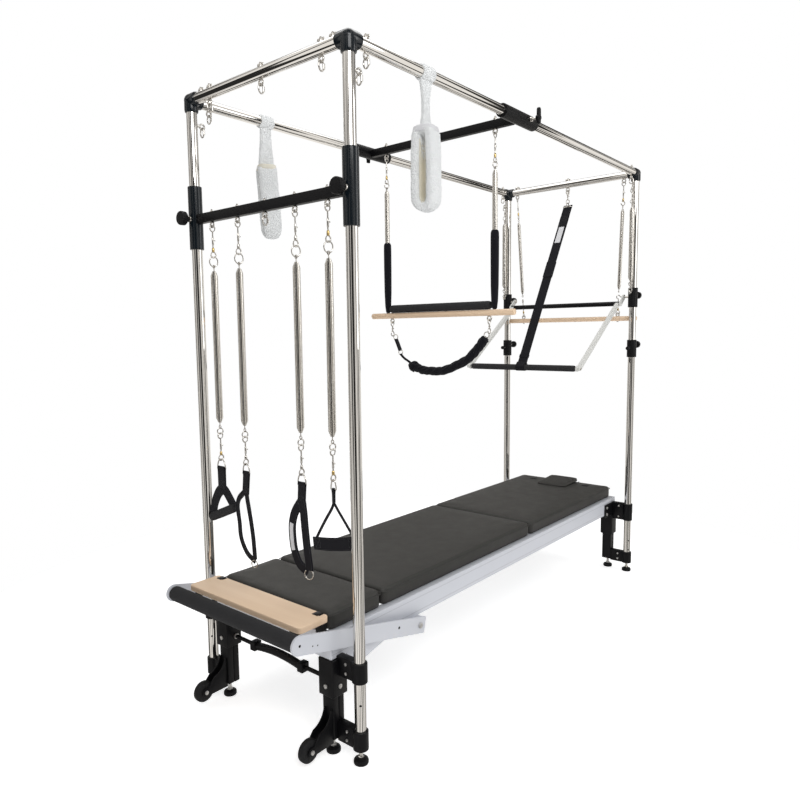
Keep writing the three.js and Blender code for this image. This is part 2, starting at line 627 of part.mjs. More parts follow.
// The bore is rounder than the rail, so that its flats clear the rail's corners when the loop swings
const FLEECE_BORE_SIDES = 30;
const FLEECE_BORE_R = (TUBE.r + SEAT) / Math.cos(Math.PI / FLEECE_BORE_SIDES);
const FLEECE_DROP = { left: 434, right: 422 };
const FLEECE_LOOPS = {
  left: { x: 322, halfWidth: 52, bottomZ: CANOPY_Z - FLEECE_DROP.left },
  right: { x: 345, halfWidth: 57, bottomZ: CANOPY_Z - FLEECE_DROP.right },
};
const FLEECE_STEPS = { round: 12, section: 6 };

// A ring whose upper and lower halves are pulled apart along z into a long upright loop
function longLoop(halfWidth, z0, z1, tubeR) {
  const { section, round } = FLEECE_STEPS;
  const geometry = new THREE.TorusGeometry(halfWidth - tubeR, tubeR, section, round);
  geometry.rotateZ(Math.PI / round);
  geometry.rotateX(Math.PI / 2);
  const middleZ = (z0 + z1) / 2;
  const stretch = (z1 - z0) / 2 - halfWidth;
  const corners = geometry.attributes.position;
  for (let i = 0; i < corners.count; i += 1) {
    const z = corners.getZ(i);
    corners.setZ(i, z + middleZ + Math.sign(z) * stretch);
  }
  geometry.rotateZ(FLEECE_TURN);
  return solid(geometry);
}

for (const [sideName, side] of Object.entries(SIDES)) {
  const spec = FLEECE_LOOPS[sideName];
  const half = FLEECE.wrapLong / 2;
  const wrap = rod(FLEECE.wrapR, v(-half, 0, CANOPY_Z), v(half, 0, CANOPY_Z));
  const halfNeck = FLEECE.neckWidth / 2;
  const halfThick = FLEECE.neckThick / 2;
  const neckZ = [FLEECE.neckZ - FLEECE.tubeR, CANOPY_Z];
  const neck = box([-halfNeck, halfNeck], [-halfThick, halfThick], neckZ);
  const body = longLoop(spec.halfWidth, spec.bottomZ, FLEECE.neckZ, FLEECE.tubeR);
  const boreEnd = (way) => v(way * (half + OVERRUN), 0, CANOPY_Z);
  const bore = rod(FLEECE_BORE_R, boreEnd(-1), boreEnd(1), FLEECE_BORE_SIDES);
  const loop = cut(join([wrap, neck, body]), [bore]);
  addPart(`fleece_loop_${sideName}`, loop, FINISH.fleece, v(spec.x, side * POST_Y, 0));
}

// Far end: collars on the posts

const UPPER_COLLAR = { r: 24, z0: 1420, z1: 1520, knobZ: 1484, eyeZ: 1497 };
const LOWER_COLLAR = {
  r: 24, z0: 1160, z1: 1250, knobZ: 1225, pinZ: 1207, pinR: 5, pinReach: 62, capR: 10, cap: 14,
};
const COLLAR_KNOB = { reach: 80, r: 19, thick: 18, neckR: 8 };
const PUSH_PIVOT = { z: 1475, pinR: 6, pinTipY: 318 };

function collarWithKnob(y, collar) {
  const knob = (d) => v(POST_PITCH_X + d, y, collar.knobZ);
  return join([
    rod(collar.r, v(POST_PITCH_X, y, collar.z0), v(POST_PITCH_X, y, collar.z1)),
    rod(COLLAR_KNOB.neckR, knob(TUBE.r), knob(COLLAR_KNOB.reach - COLLAR_KNOB.thick + SINK), HEX),
    rod(COLLAR_KNOB.r, knob(COLLAR_KNOB.reach - COLLAR_KNOB.thick), knob(COLLAR_KNOB.reach)),
  ]);
}

const postBore = (y, collar) => rod(TUBE.r + SEAT, v(POST_PITCH_X, y, collar.z0 - OVERRUN),
  v(POST_PITCH_X, y, collar.z1 + OVERRUN));

for (const [sideName, side] of Object.entries(SIDES)) {
  const y = side * POST_Y;
  const pinTip = v(POST_PITCH_X, side * PUSH_PIVOT.pinTipY, PUSH_PIVOT.z);
  const pin = rod(PUSH_PIVOT.pinR, v(POST_PITCH_X, y, PUSH_PIVOT.z), pinTip);
  const eye = sideEye(POST_PITCH_X, y, UPPER_COLLAR.eyeZ, -1);
  const upper = cut(join([collarWithKnob(y, UPPER_COLLAR), pin, eye]), [postBore(y, UPPER_COLLAR)]);
  addPart(`upper_collar_${sideName}`, upper, FINISH.blackPlastic);
  const pull = (d) => v(POST_PITCH_X - d, y, LOWER_COLLAR.pinZ);
  const lower = cut(join([
    collarWithKnob(y, LOWER_COLLAR),
    rod(LOWER_COLLAR.pinR, pull(TUBE.r), pull(LOWER_COLLAR.pinReach), HEX),
    rod(LOWER_COLLAR.capR, pull(LOWER_COLLAR.pinReach - LOWER_COLLAR.cap), pull(LOWER_COLLAR.pinReach), HEX),
  ]), [postBore(y, LOWER_COLLAR)]);
  addPart(`lower_collar_${sideName}`, lower, FINISH.blackPlastic);
}

// Thick springs on the inner face of the far posts, from the post's eye to the collar's eye

const THICK_SPRING_DROP = 175;
const THICK_SPRING_RISE = 58;
const THICK_SPRING = {
  topZ: CANOPY_Z - THICK_SPRING_DROP, bottomZ: UPPER_COLLAR.eyeZ + THICK_SPRING_RISE,
  r: 12.5, wireR: 2, curls: 4, stem: 14,
};

function thickSpring() {
  const spring = THICK_SPRING;
  const topLinkZ = hangingOn(POST.eyeZ - EYE.r, EYE.wireR);
  const lowLinkZ = pullingOn(UPPER_COLLAR.eyeZ + EYE.r, EYE.wireR);
  const footZ = spring.bottomZ - spring.stem + SINK;
  return join([
    snapHook(0, 0, topLinkZ, spring.topZ + spring.stem - SINK, 'x'),
    springWire(spring.topZ, spring.bottomZ, spring.stem, spring.r, spring.wireR, spring.curls),
    rod(LINK.rodR, v(0, 0, footZ), v(0, 0, lowLinkZ + LINK.r - SINK), ROD_SIDES),
    ring(v(0, 0, lowLinkZ), LINK.r, LINK.wireR, 'x'),
  ]);
}

for (const [sideName, side] of Object.entries(SIDES)) {
  const place = v(POST_PITCH_X - SIDE_EYE_REACH, side * POST_Y, 0);
  addPart(`thick_spring_${sideName}`, thickSpring(), FINISH.springSteel, place);
}

// Push bar: link plates on the collars' pins, a cross tube, two arms and a foam grip

const PUSH = {
  gripX: 1620, gripZ: 1120, armY: 310, armR: 11, gripR: 15, coreR: 10,
  plateY: 322, plateThick: 8, plateR: 13, crossX: 2077, crossZ: 1439, crossR: 12,
};

function pushBarFrame() {
  const pivot = [POST_PITCH_X, PUSH_PIVOT.z];
  const cross = [PUSH.crossX, PUSH.crossZ];
  const solids = [
    rod(PUSH.crossR, v(PUSH.crossX, -PUSH.plateY, PUSH.crossZ), v(PUSH.crossX, PUSH.plateY, PUSH.crossZ)),
    rod(PUSH.coreR, v(PUSH.gripX, -PUSH.armY, PUSH.gripZ), v(PUSH.gripX, PUSH.armY, PUSH.gripZ)),
  ];
  const bores = [];
  for (const side of Object.values(SIDES)) {
    const y0 = side * PUSH.plateY;
    const y1 = side * (PUSH.plateY + PUSH.plateThick);
    solids.push(sidePlate(bandOutline([pivot, cross], 2 * PUSH.plateR), y0, y1));
    solids.push(rod(PUSH.plateR, v(POST_PITCH_X, y0, PUSH_PIVOT.z), v(POST_PITCH_X, y1, PUSH_PIVOT.z)));
    solids.push(rod(PUSH.plateR, v(PUSH.crossX, y0, PUSH.crossZ), v(PUSH.crossX, y1, PUSH.crossZ)));
    const armY = side * PUSH.armY;
    solids.push(rod(PUSH.armR, v(PUSH.crossX, armY, PUSH.crossZ), v(PUSH.gripX, armY, PUSH.gripZ)));
    bores.push(rod(PUSH_PIVOT.pinR + PIVOT_PLAY, v(POST_PITCH_X, y0 - side * OVERRUN, PUSH_PIVOT.z),
      v(POST_PITCH_X, y1 + side * OVERRUN, PUSH_PIVOT.z)));
  }
  return cut(join(solids), bores);
}

addPart('push_bar_frame', pushBarFrame(), FINISH.silver);

const gripReach = PUSH.armY - PUSH.armR - PUSH.gripR / 2;
const pushGripEnd = (side) => v(PUSH.gripX, side * gripReach, PUSH.gripZ);
const pushGrip = pipe(PUSH.gripR, PUSH.coreR + SEAT, pushGripEnd(-1), pushGripEnd(1));
addPart('push_bar_grip', pushGrip, FINISH.foam);

// Safety strap: doubled webbing from the far rail's middle eye down round the push bar's grip

const SAFETY = { width: 50, thick: 5, loopWall: 4, ringR: 12 };

function safetyStrap() {
  const ringZ = eyeWireZ(RAIL_BOTTOM_Z) + EYE.wireR + LINK.play - (SAFETY.ringR - LINK.wireR);
  const half = SAFETY.width / 2;
  const boreR = PUSH.gripR + PIVOT_PLAY;
  const route = [[POST_PITCH_X, ringZ - SAFETY.ringR + LINK.wireR], [PUSH.gripX, PUSH.gripZ]];
  const band = sidePlate(bandOutline(route, SAFETY.thick), -half, half);
  const across = (y) => v(PUSH.gripX, y, PUSH.gripZ);
  const loop = rod(boreR + SAFETY.loopWall, across(-half), across(half));
  const bore = rod(boreR, across(-half - OVERRUN), across(half + OVERRUN));
  const topRing = ring(v(POST_PITCH_X, 0, ringZ), SAFETY.ringR, LINK.wireR, 'y');
  return join([cut(join([band, loop]), [bore]), topRing]);
}

addPart('safety_strap', safetyStrap(), FINISH.webbing);

// Roll-down bar: a wooden bar behind the far posts, hung on two springs from the far rail

const ROLL_SPRING = { topDrop: 152, bottomDrop: 529, r: 9.5, wireR: 1.5, curls: 4, stem: 14 };
const ROLL_BAR = { r: 12.5, z: 1363, halfY: 385, eyeY: 283 };
const rollBarX = POST_PITCH_X + TUBE.r + SEAT + ROLL_BAR.r;

function rollDownBar() {
  const end = (side) => v(rollBarX, side * ROLL_BAR.halfY, ROLL_BAR.z);
  const wood = rod(ROLL_BAR.r, end(-1), end(1));
  const eyes = [-ROLL_BAR.eyeY, ROLL_BAR.eyeY].map((y) => {
    return ring(v(rollBarX, y, ROLL_BAR.z + ROLL_BAR.r + EYE.r - EYE.wireR), EYE.r, EYE.wireR, 'x');
  });
  return join([wood, ...eyes]);
}

addPart('roll_down_bar', rollDownBar(), FINISH.wood);

// Built down its own -Z from the rail eye's wire, then turned towards the bar's eye
const rollEyeWireZ = ROLL_BAR.z + ROLL_BAR.r + 2 * EYE.r - EYE.wireR;

function rollSpring(length) {
  const spring = ROLL_SPRING;
  const topLinkZ = hangingOn(0, EYE.wireR);
  const lowLinkZ = pullingOn(-length, EYE.wireR);
  const footZ = -spring.bottomDrop - spring.stem + SINK;
  return join([
    snapHook(0, 0, topLinkZ, -spring.topDrop + spring.stem - SINK, 'y'),
    springWire(-spring.topDrop, -spring.bottomDrop, spring.stem, spring.r, spring.wireR, spring.curls),
    rod(LINK.rodR, v(0, 0, footZ), v(0, 0, lowLinkZ + LINK.r - SINK), ROD_SIDES),
    ring(v(0, 0, lowLinkZ), LINK.r, LINK.wireR, 'y'),
  ]);
}

for (const [sideName, side] of Object.entries(SIDES)) {
  const top = v(POST_PITCH_X, side * RAIL_EYE_Y.far[2], eyeWireZ(RAIL_BOTTOM_Z));
  const low = v(rollBarX, side * ROLL_BAR.eyeY, rollEyeWireZ);
  const run = low.clone().sub(top);
  const turn = new THREE.Quaternion().setFromUnitVectors(v(0, 0, -1), run.clone().normalize());
  addPart(`roll_down_spring_${sideName}`, rollSpring(run.length()), FINISH.springSteel, top, turn);
}

// Bed frame: two side rails, four cross members, pivot brackets, gussets and platform brackets

const MEMBER = { width: 40, z0: 330, z1: 380, xs: [760, 1400] };
const END_MEMBER = 25;
const PIVOT = { x: 366, z: 290, halfX: 30, below: 18, pinR: 5.5, headR: 10, head: 6 };
const GUSSET = { thick: 4, x0: 32, z: 262, x1: 115, x2: 235, z2: 290, x3: 330 };
const PLATFORM = {
  x0: -150, x1: -30, halfY: 280, thick: 20, cornerR: 14, cornerSteps: 4,
  notchX: 20, notchY: 30, notchInset: 22,
};
const BRACKET = { y0: 222, y1: 262, thick: 9, x0: -140, x1: -24 };
const FOOTBAR_OUTSIDE = 30;
const FOOTBAR = {
  x: -186, z: 423, foamR: 25, coreR: 14, armOuterY: BED.halfY + FOOTBAR_OUTSIDE,
  armThick: 8, armWidth: 58, endSides: 12, tail: 30,
};

const PLATFORM_Z = [PAD_TOP_Z - PLATFORM.thick, PAD_TOP_Z];
const armInnerY = FOOTBAR.armOuterY - FOOTBAR.armThick;

function bedFrame() {
  const railInner = BED.halfY - BED.railWidth;
  const across = [-railInner - SINK, railInner + SINK];
  const solids = [
    box([BED.x0, BED.x0 + END_MEMBER], across, [BED.z0, BED.z1]),
    box([BED.x1 - END_MEMBER, BED.x1], across, [BED.z0, BED.z1]),
  ];
  for (const x of MEMBER.xs) {
    solids.push(box([x - MEMBER.width / 2, x + MEMBER.width / 2], across, [MEMBER.z0, MEMBER.z1]));
  }
  for (const side of Object.values(SIDES)) {
    const outer = side * BED.halfY;
    solids.push(box([BED.x0, BED.x1], [side * railInner, outer], [BED.z0, BED.z1]));
    const bracketX = [PIVOT.x - PIVOT.halfX, PIVOT.x + PIVOT.halfX];
    const bracketY = [side * (railInner + SINK), side * (armInnerY - SEAT)];
    solids.push(box(bracketX, bracketY, [PIVOT.z - PIVOT.below, BED.z0 + SINK]));
    const pin = (d) => v(PIVOT.x, side * d, PIVOT.z);
    solids.push(rod(PIVOT.pinR, pin(armInnerY - OVERRUN), pin(FOOTBAR.armOuterY + SEAT + SINK)));
    solids.push(rod(PIVOT.headR, pin(FOOTBAR.armOuterY + SEAT), pin(FOOTBAR.armOuterY + SEAT + PIVOT.head)));
    const gusset = [
      [GUSSET.x0, BED.z0 + SINK], [GUSSET.x0, GUSSET.z], [GUSSET.x1, GUSSET.z],
      [GUSSET.x2, GUSSET.z2], [GUSSET.x3, BED.z0 + SINK],
    ];
    solids.push(sidePlate(gusset, outer - side * GUSSET.thick, outer));
    const bracket = [side * BRACKET.y0, side * BRACKET.y1];
    const topZ = PLATFORM_Z[0] - SEAT;
    solids.push(box([BRACKET.x0, BRACKET.x1], bracket, [topZ - BRACKET.thick, topZ]));
    solids.push(box([BED.x0, BRACKET.x1], bracket, [BED.z1 - BRACKET.thick, topZ]));
  }
  return join(solids);
}

addPart('bed_frame', bedFrame(), FINISH.silver);

// Wooden platform with rounded front corners and a notch near each end of its back edge

function platform() {
  const { x0, x1, halfY, cornerR, notchX, notchY, notchInset } = PLATFORM;
  const outline = new THREE.Shape();
  outline.moveTo(x1, halfY);
  outline.lineTo(x0 + cornerR, halfY);
  outline.absarc(x0 + cornerR, halfY - cornerR, cornerR, Math.PI / 2, Math.PI);
  outline.absarc(x0 + cornerR, -halfY + cornerR, cornerR, Math.PI, Math.PI * 3 / 2);
  outline.lineTo(x1, -halfY);
  for (const side of [-1, 1]) {
    const near = side * (halfY - notchInset - (side < 0 ? 0 : notchY));
    const far = side * (halfY - notchInset - (side < 0 ? notchY : 0));
    outline.lineTo(x1, near);
    outline.lineTo(x1 - notchX, near);
    outline.lineTo(x1 - notchX, far);
    outline.lineTo(x1, far);
  }
  const options = { depth: PLATFORM.thick, bevelEnabled: false, curveSegments: PLATFORM.cornerSteps };
  const geometry = new THREE.ExtrudeGeometry(outline, options);
  geometry.translate(0, 0, PLATFORM_Z[0]);
  return solid(geometry);
}

addPart('standing_platform', platform(), FINISH.wood);

// Footbar: two flat arms on the pivot pins, a core tube between them and a foam grip

function footbarFrame() {
  const rise = new THREE.Vector2(PIVOT.x - FOOTBAR.x, PIVOT.z - FOOTBAR.z);
  const tail = rise.clone().setLength(rise.length() + FOOTBAR.tail);
  const start = [FOOTBAR.x, FOOTBAR.z];
  const end = [FOOTBAR.x + tail.x, FOOTBAR.z + tail.y];
  const across = (y) => v(FOOTBAR.x, y, FOOTBAR.z);
  const solids = [rod(FOOTBAR.coreR, across(-FOOTBAR.armOuterY), across(FOOTBAR.armOuterY))];
  const holes = [];
  for (const side of Object.values(SIDES)) {
    const y0 = side * armInnerY;
    const y1 = side * FOOTBAR.armOuterY;
    solids.push(sidePlate(bandOutline([start, end], FOOTBAR.armWidth), y0, y1));
    solids.push(rod(FOOTBAR.armWidth / 2, across(y0), across(y1), FOOTBAR.endSides));
    const holeFrom = v(PIVOT.x, y0 - side * OVERRUN, PIVOT.z);
    holes.push(rod(PIVOT.pinR + PIVOT_PLAY, holeFrom, v(PIVOT.x, y1 + side * OVERRUN, PIVOT.z)));
  }
  return cut(join(solids), holes);
}

addPart('footbar_frame', footbarFrame(), FINISH.silver);

const footGripReach = armInnerY - SEAT;
const footGripEnd = (side) => v(FOOTBAR.x, side * footGripReach, FOOTBAR.z);
const footGrip = pipe(FOOTBAR.foamR, FOOTBAR.coreR + SEAT, footGripEnd(-1), footGripEnd(1));
addPart('footbar_grip', footGrip, FINISH.foam);

// Mats: crowned upholstered boards, one after another on the bed frame

const MAT = {
  x0: -21, x1: 2141, seams: [228, 1237], joint: 3, halfY: 273,
  crown: 3, roll: 12, toe: 4, drawIn: 2, cornerR: 16,
};
const MAT_EDGE_STEPS = 3;
const CORNER_CLOSING_SHARE = 0.5;
const HEADREST = { x0: 1950, length: 186, halfY: 85, rise: 23, clearance: 2 };

// One closed ring of points at a height, set in from the mat's plan and drawn in along each edge
function matRing(x0, x1, halfY, inset, z) {
  const [low, high, reach] = [x0 + inset, x1 - inset, halfY - inset];
  const corners = [[low, -reach], [high, -reach], [high, reach], [low, reach]];
  const cutBack = MAT.cornerR - inset * CORNER_CLOSING_SHARE;
  const points = [];
  corners.forEach((corner, k) => {
    const next = corners[(k + 1) % corners.length];
    const run = new THREE.Vector2(next[0] - corner[0], next[1] - corner[1]);
    const length = run.length();
    run.normalize();
    for (let i = 0; i <= MAT_EDGE_STEPS; i += 1) {
      const share = i / MAT_EDGE_STEPS;
      const along = cutBack + share * (length - 2 * cutBack);
      const drawn = MAT.drawIn * Math.sin(Math.PI * share);
      points.push([corner[0] + run.x * along - run.y * drawn, corner[1] + run.y * along + run.x * drawn, z]);
    }
  });
  return points;
}

function mat(x0, x1, clearCut) {
  const bottomZ = BED.z1 + SEAT;
  const topZ = PAD_TOP_Z - MAT.crown;
  const rings = [
    matRing(x0, x1, MAT.halfY, MAT.toe, bottomZ),
    matRing(x0, x1, MAT.halfY, 0, bottomZ + MAT.roll),
    matRing(x0, x1, MAT.halfY, 0, topZ - MAT.roll),
    matRing(x0, x1, MAT.halfY, MAT.toe, topZ - MAT.toe),
    matRing(x0, x1, MAT.halfY, MAT.roll, topZ),
  ];
  const count = rings[0].length;
  const points = [...rings.flat(), [(x0 + x1) / 2, 0, bottomZ], [(x0 + x1) / 2, 0, PAD_TOP_Z]];
  const bottom = points.length - 2;
  const top = points.length - 1;
  const faces = [];
  for (let k = 0; k < count; k += 1) {
    const next = (k + 1) % count;
    for (let level = 0; level < rings.length - 1; level += 1) {
      const low = level * count;
      const high = low + count;
      faces.push(low + k, low + next, high + next, low + k, high + next, high + k);
    }
    const last = (rings.length - 1) * count;
    faces.push(bottom, next, k, top, last + k, last + next);
  }
  const geometry = new THREE.BufferGeometry();
  geometry.setAttribute('position', new THREE.Float32BufferAttribute(points.flat(), 3));
  geometry.setIndex(faces);
  return clearCut ? cut(solid(geometry), [clearCut]) : solid(geometry);
}

const headrestWell = box([HEADREST.x0 - HEADREST.clearance, MAT.x1 + OVERRUN],
  [-HEADREST.halfY - HEADREST.clearance, HEADREST.halfY + HEADREST.clearance],
  [BED.z1 - OVERRUN, PAD_TOP_Z + OVERRUN]);
const [firstSeam, secondSeam] = MAT.seams;
const halfJoint = MAT.joint / 2;

addPart('mat_near', mat(MAT.x0, firstSeam - halfJoint), FINISH.vinyl);
addPart('mat_middle', mat(firstSeam + halfJoint, secondSeam - halfJoint), FINISH.vinyl);
addPart('mat_far', mat(secondSeam + halfJoint, MAT.x1, headrestWell), FINISH.vinyl);

// Headrest: a padded block in the far mat's well, hinged along its near edge at mat height

const HEADREST_EDGE = 5;

function headrest() {
  const x1 = HEADREST.x0 + HEADREST.length;
  const topZ = PAD_TOP_Z + HEADREST.rise;
  const profile = [
    [HEADREST.x0, BED.z1 + SEAT], [x1, BED.z1 + SEAT], [x1, topZ - HEADREST_EDGE],
    [x1 - HEADREST_EDGE, topZ], [HEADREST.x0 + HEADREST_EDGE, topZ], [HEADREST.x0, topZ - HEADREST_EDGE],
  ];
  return sidePlate(profile, -HEADREST.halfY, HEADREST.halfY);
}

addPart('headrest', headrest(), FINISH.vinyl);

// Legs: a square column with a wider head, clamps round the post, a levelling foot, wheel fork

const LEG_WIDTH = 47.5;
const LEG_FOOT_INSIDE = 24;
const LEG = {
  outX: 30, inX: 17, y0: BED.halfY - LEG_WIDTH, y1: BED.halfY, z0: 50, headZ: 190, headExtra: 8,
  footX: 10, footY: BED.halfY - LEG_FOOT_INSIDE,
};
const CLAMP = { r: 24, lowZ0: 45, lowZ1: 105, halfX: 14, highNear: [258, 320], highFar: [280, 370] };
const FAR_PLATE = { x0: 2010, x1: 2140, z0: 300, thick: 7 };
const WHEEL_INSIDE = 21;
const WHEEL = {
  x: -118, y: BED.halfY - WHEEL_INSIDE, z: 55, r: 36, width: 24, sides: 16, hubR: 12, hub: 1, axleR: 4,
  plate: 4, plateHalf: 14, backZ: 120,
};

function clampOn(x, side, z0, z1, fromY) {
  const y = side * POST_Y;
  return join([
    rod(CLAMP.r, v(x, y, z0), v(x, y, z1)),
    box([x - CLAMP.halfX, x + CLAMP.halfX], [side * fromY, y], [z0, z1]),
  ]);
}

function leg(x, out, side) {
  const topZ = BED.z0 - SEAT;
  const far = out > 0;
  const [highZ0, highZ1] = far ? CLAMP.highFar : CLAMP.highNear;
  const columnX = [x - out * LEG.inX, x + out * LEG.outX];
  const headX = [x - out * (LEG.inX + LEG.headExtra), x + out * (LEG.outX + LEG.headExtra)];
  const headY = [side * (LEG.y0 - LEG.headExtra), side * (LEG.y1 + LEG.headExtra)];
  const solids = [
    box(columnX, [side * LEG.y0, side * LEG.y1], [LEG.z0, topZ]),
    box(headX, headY, [LEG.headZ, topZ]),
    foot(x + out * LEG.footX, side * LEG.footY),
    rod(POST.stemR, v(x + out * LEG.footX, side * LEG.footY, POST.baseZ),
      v(x + out * LEG.footX, side * LEG.footY, LEG.z0 + SINK), HEX),
    clampOn(x, side, CLAMP.lowZ0 + SINK, CLAMP.lowZ1, LEG.y1 - SINK),
    clampOn(x, side, highZ0, highZ1, LEG.y1 + SEAT),
  ];
  if (far) {
    const plateY = [side * (BED.halfY + SEAT), side * (BED.halfY + SEAT + FAR_PLATE.thick)];
    solids.push(box([FAR_PLATE.x0, FAR_PLATE.x1], plateY, [FAR_PLATE.z0, highZ1]));
  } else {
    solids.push(...wheelFork(columnX[1] + SINK, side));
  }
  const boreFrom = v(x, side * POST_Y, POST.baseZ - OVERRUN);
  const bore = rod(TUBE.r + SEAT, boreFrom, v(x, side * POST_Y, highZ1 + OVERRUN));
  return cut(join(solids), [bore]);
}

// Two cheeks run out from the leg to the axle, one each side of the wheel
function wheelFork(rootX, side) {
  const cheek = [
    [rootX, WHEEL.backZ], [rootX, WHEEL.z - WHEEL.plateHalf], [WHEEL.x, WHEEL.z - WHEEL.plateHalf],
    [WHEEL.x - WHEEL.plateHalf, WHEEL.z], [WHEEL.x, WHEEL.z + WHEEL.plateHalf],
  ];
  const inner = WHEEL.width / 2 + WHEEL.hub + SEAT;
  const solids = [-1, 1].map((way) => {
    const y = side * WHEEL.y + way * inner;
    return sidePlate(cheek, y, y + way * WHEEL.plate);
  });
  const reach = inner + WHEEL.plate;
  const axleFrom = v(WHEEL.x, side * WHEEL.y - reach, WHEEL.z);
  const axleTo = v(WHEEL.x, side * WHEEL.y + reach, WHEEL.z);
  return [...solids, rod(WHEEL.axleR, axleFrom, axleTo, HEX)];
}

for (const [endName, end] of Object.entries(ENDS)) {
  for (const [sideName, side] of Object.entries(SIDES)) {
    addPart(`leg_${endName}_${sideName}`, leg(end.x, end.out, side), FINISH.blackPowder);
  }
}

for (const [sideName, side] of Object.entries(SIDES)) {
  const y = side * WHEEL.y;
  const at = (d) => v(WHEEL.x, y + d, WHEEL.z);
  const half = WHEEL.width / 2;
  const tyre = rod(WHEEL.r, at(-half), at(half), WHEEL.sides);
  const hub = rod(WHEEL.hubR, at(-half - WHEEL.hub), at(half + WHEEL.hub), HEX);
  const bore = rod(WHEEL.axleR + PIVOT_PLAY, at(-half - OVERRUN), at(half + OVERRUN));
  addPart(`transport_wheel_${sideName}`, cut(join([tyre, hub]), [bore]), FINISH.rubber);
}

// Tie tube under the near end of the bed, between the leg heads

const TIE = { z: 225, r: 10, rodR: 7, halfY: 120, blockY0: 108, blockY1: 134, blockHalf: 16 };
const tieReach = LEG.y0 - LEG.headExtra - SEAT;
const tieBlocks = Object.values(SIDES).map((side) => {
  const blockY = [side * TIE.blockY0, side * TIE.blockY1];
  return box([-TIE.blockHalf, TIE.blockHalf], blockY, [TIE.z - TIE.blockHalf, TIE.z + TIE.blockHalf]);
});
addPart('tie_tube', join([
  rod(TIE.r, v(0, -TIE.halfY, TIE.z), v(0, TIE.halfY, TIE.z), RING_STEPS),
  rod(TIE.rodR, v(0, -tieReach, TIE.z), v(0, tieReach, TIE.z), RING_STEPS),
  ...tieBlocks,
]), FINISH.blackPowder);

console.log(`least gap of any spring wire to itself: ${Math.min(...measuredGaps).toFixed(2)} mm`);

// The object's own origin: the middle of its box, on the floor
const xMin = FOOTBAR.x - FOOTBAR.armWidth / 2;
const xMax = POST_PITCH_X + COLLAR_KNOB.reach;
table.position.x = -(xMin + xMax) / 2;

export default table;
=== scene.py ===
# %% [markdown]
# # Pilates trapeze table
# A padded bed stands under a canopy of four chromed posts and four rails. A spring bar with four strap
# handles hangs on the near posts, a trapeze and two fleece loops hang from the rails, and a push bar
# and a roll-down bar hang at the far end. Every size is in metres. X runs from the spring end to the
# push bar end, Y points left and Z up. The measured frame is loaded first, and each piece below is
# made in its place on that frame, so nothing is moved afterwards.

# %% Load the frame
import math

import bmesh
import bpy
import numpy as np
from mathutils import Matrix, Quaternion, Vector


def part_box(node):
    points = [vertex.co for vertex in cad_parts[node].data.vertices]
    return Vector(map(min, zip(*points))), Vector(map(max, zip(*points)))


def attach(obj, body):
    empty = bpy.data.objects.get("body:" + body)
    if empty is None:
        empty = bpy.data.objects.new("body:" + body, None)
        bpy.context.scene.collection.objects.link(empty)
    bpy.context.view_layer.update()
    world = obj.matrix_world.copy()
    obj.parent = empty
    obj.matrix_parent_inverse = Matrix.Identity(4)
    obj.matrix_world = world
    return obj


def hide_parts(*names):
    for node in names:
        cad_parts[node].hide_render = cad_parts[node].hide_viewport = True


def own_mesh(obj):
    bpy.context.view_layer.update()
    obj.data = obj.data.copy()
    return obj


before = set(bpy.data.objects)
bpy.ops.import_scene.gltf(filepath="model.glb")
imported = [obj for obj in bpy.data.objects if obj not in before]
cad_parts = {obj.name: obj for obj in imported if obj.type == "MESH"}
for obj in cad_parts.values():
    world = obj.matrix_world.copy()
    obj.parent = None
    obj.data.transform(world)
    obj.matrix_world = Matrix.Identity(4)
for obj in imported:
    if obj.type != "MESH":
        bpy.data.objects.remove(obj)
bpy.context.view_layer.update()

# %% [markdown]
# ## Main lines
# A few driving places carry the whole object: the two planes of posts, the rails' height and the
# bed's levels. The rest is measured from them. Sides are written as +1 for left and -1 for right.

# %% Driving places
NEAR_X = -0.993
FAR_X = 1.128
POST_Y = 0.3745
RAIL_Z = 2.100
TUBE_R = 0.018
BORE_R = TUBE_R + 0.0004
MAT_TOP = 0.450
BED_TOP, BED_LOW = 0.390, 0.310
SIDES = {"left": 1, "right": -1}
ENDS = {"near": (NEAR_X, -1), "far": (FAR_X, 1)}
UP = Vector((0, 0, 1))
DIRECTION = {"x": Vector((1, 0, 0)), "y": Vector((0, 1, 0))}
print("post pitch", round(FAR_X - NEAR_X, 3), "by", 2 * POST_Y)

# %% [markdown]
# ## Camera
# The picture is taken from the spring end, a little right of the table, at about chest height. A pose
# is written here as a place, a heading, a pitch and a small roll, and the matrix is built from them.
# Depth of field stays off, and the tiny shift only centres the frame.

# %% Camera
CAMERA_AT = Vector((-2.3869, -1.6971, 1.2975))
HEADING, PITCH, ROLL = (math.radians(a) for a in (40.019, -5.913, 0.664))
CAMERA_LENS = 30.18
CAMERA_SHIFT = (0.0057, 0.0037)

ahead = Vector((math.cos(PITCH) * math.cos(HEADING), math.cos(PITCH) * math.sin(HEADING), math.sin(PITCH)))
level = Vector((math.sin(HEADING), -math.cos(HEADING), 0))
tilt = Quaternion(ahead, ROLL)
right = tilt @ level
above = tilt @ level.cross(ahead)
camera_data = bpy.data.cameras.new("camera")
camera_data.lens = CAMERA_LENS
camera_data.shift_x, camera_data.shift_y = CAMERA_SHIFT
camera = bpy.data.objects.new("camera", camera_data)
camera.matrix_world = Matrix.Translation(CAMERA_AT) @ Matrix((right, above, -ahead)).transposed().to_4x4()
bpy.context.scene.collection.objects.link(camera)
bpy.context.scene.camera = camera
print("camera looks along", [round(c, 3) for c in ahead])

# %% [markdown]
# ## Room and light
# A white floor and surround, three broad soft lamps and no other colour. The surround is white for the
# camera and lights the object at a lower strength. Polished metal sees it with tall dark and cream
# bands, as a studio has beside its white backdrop, so that chrome shows its streaks.

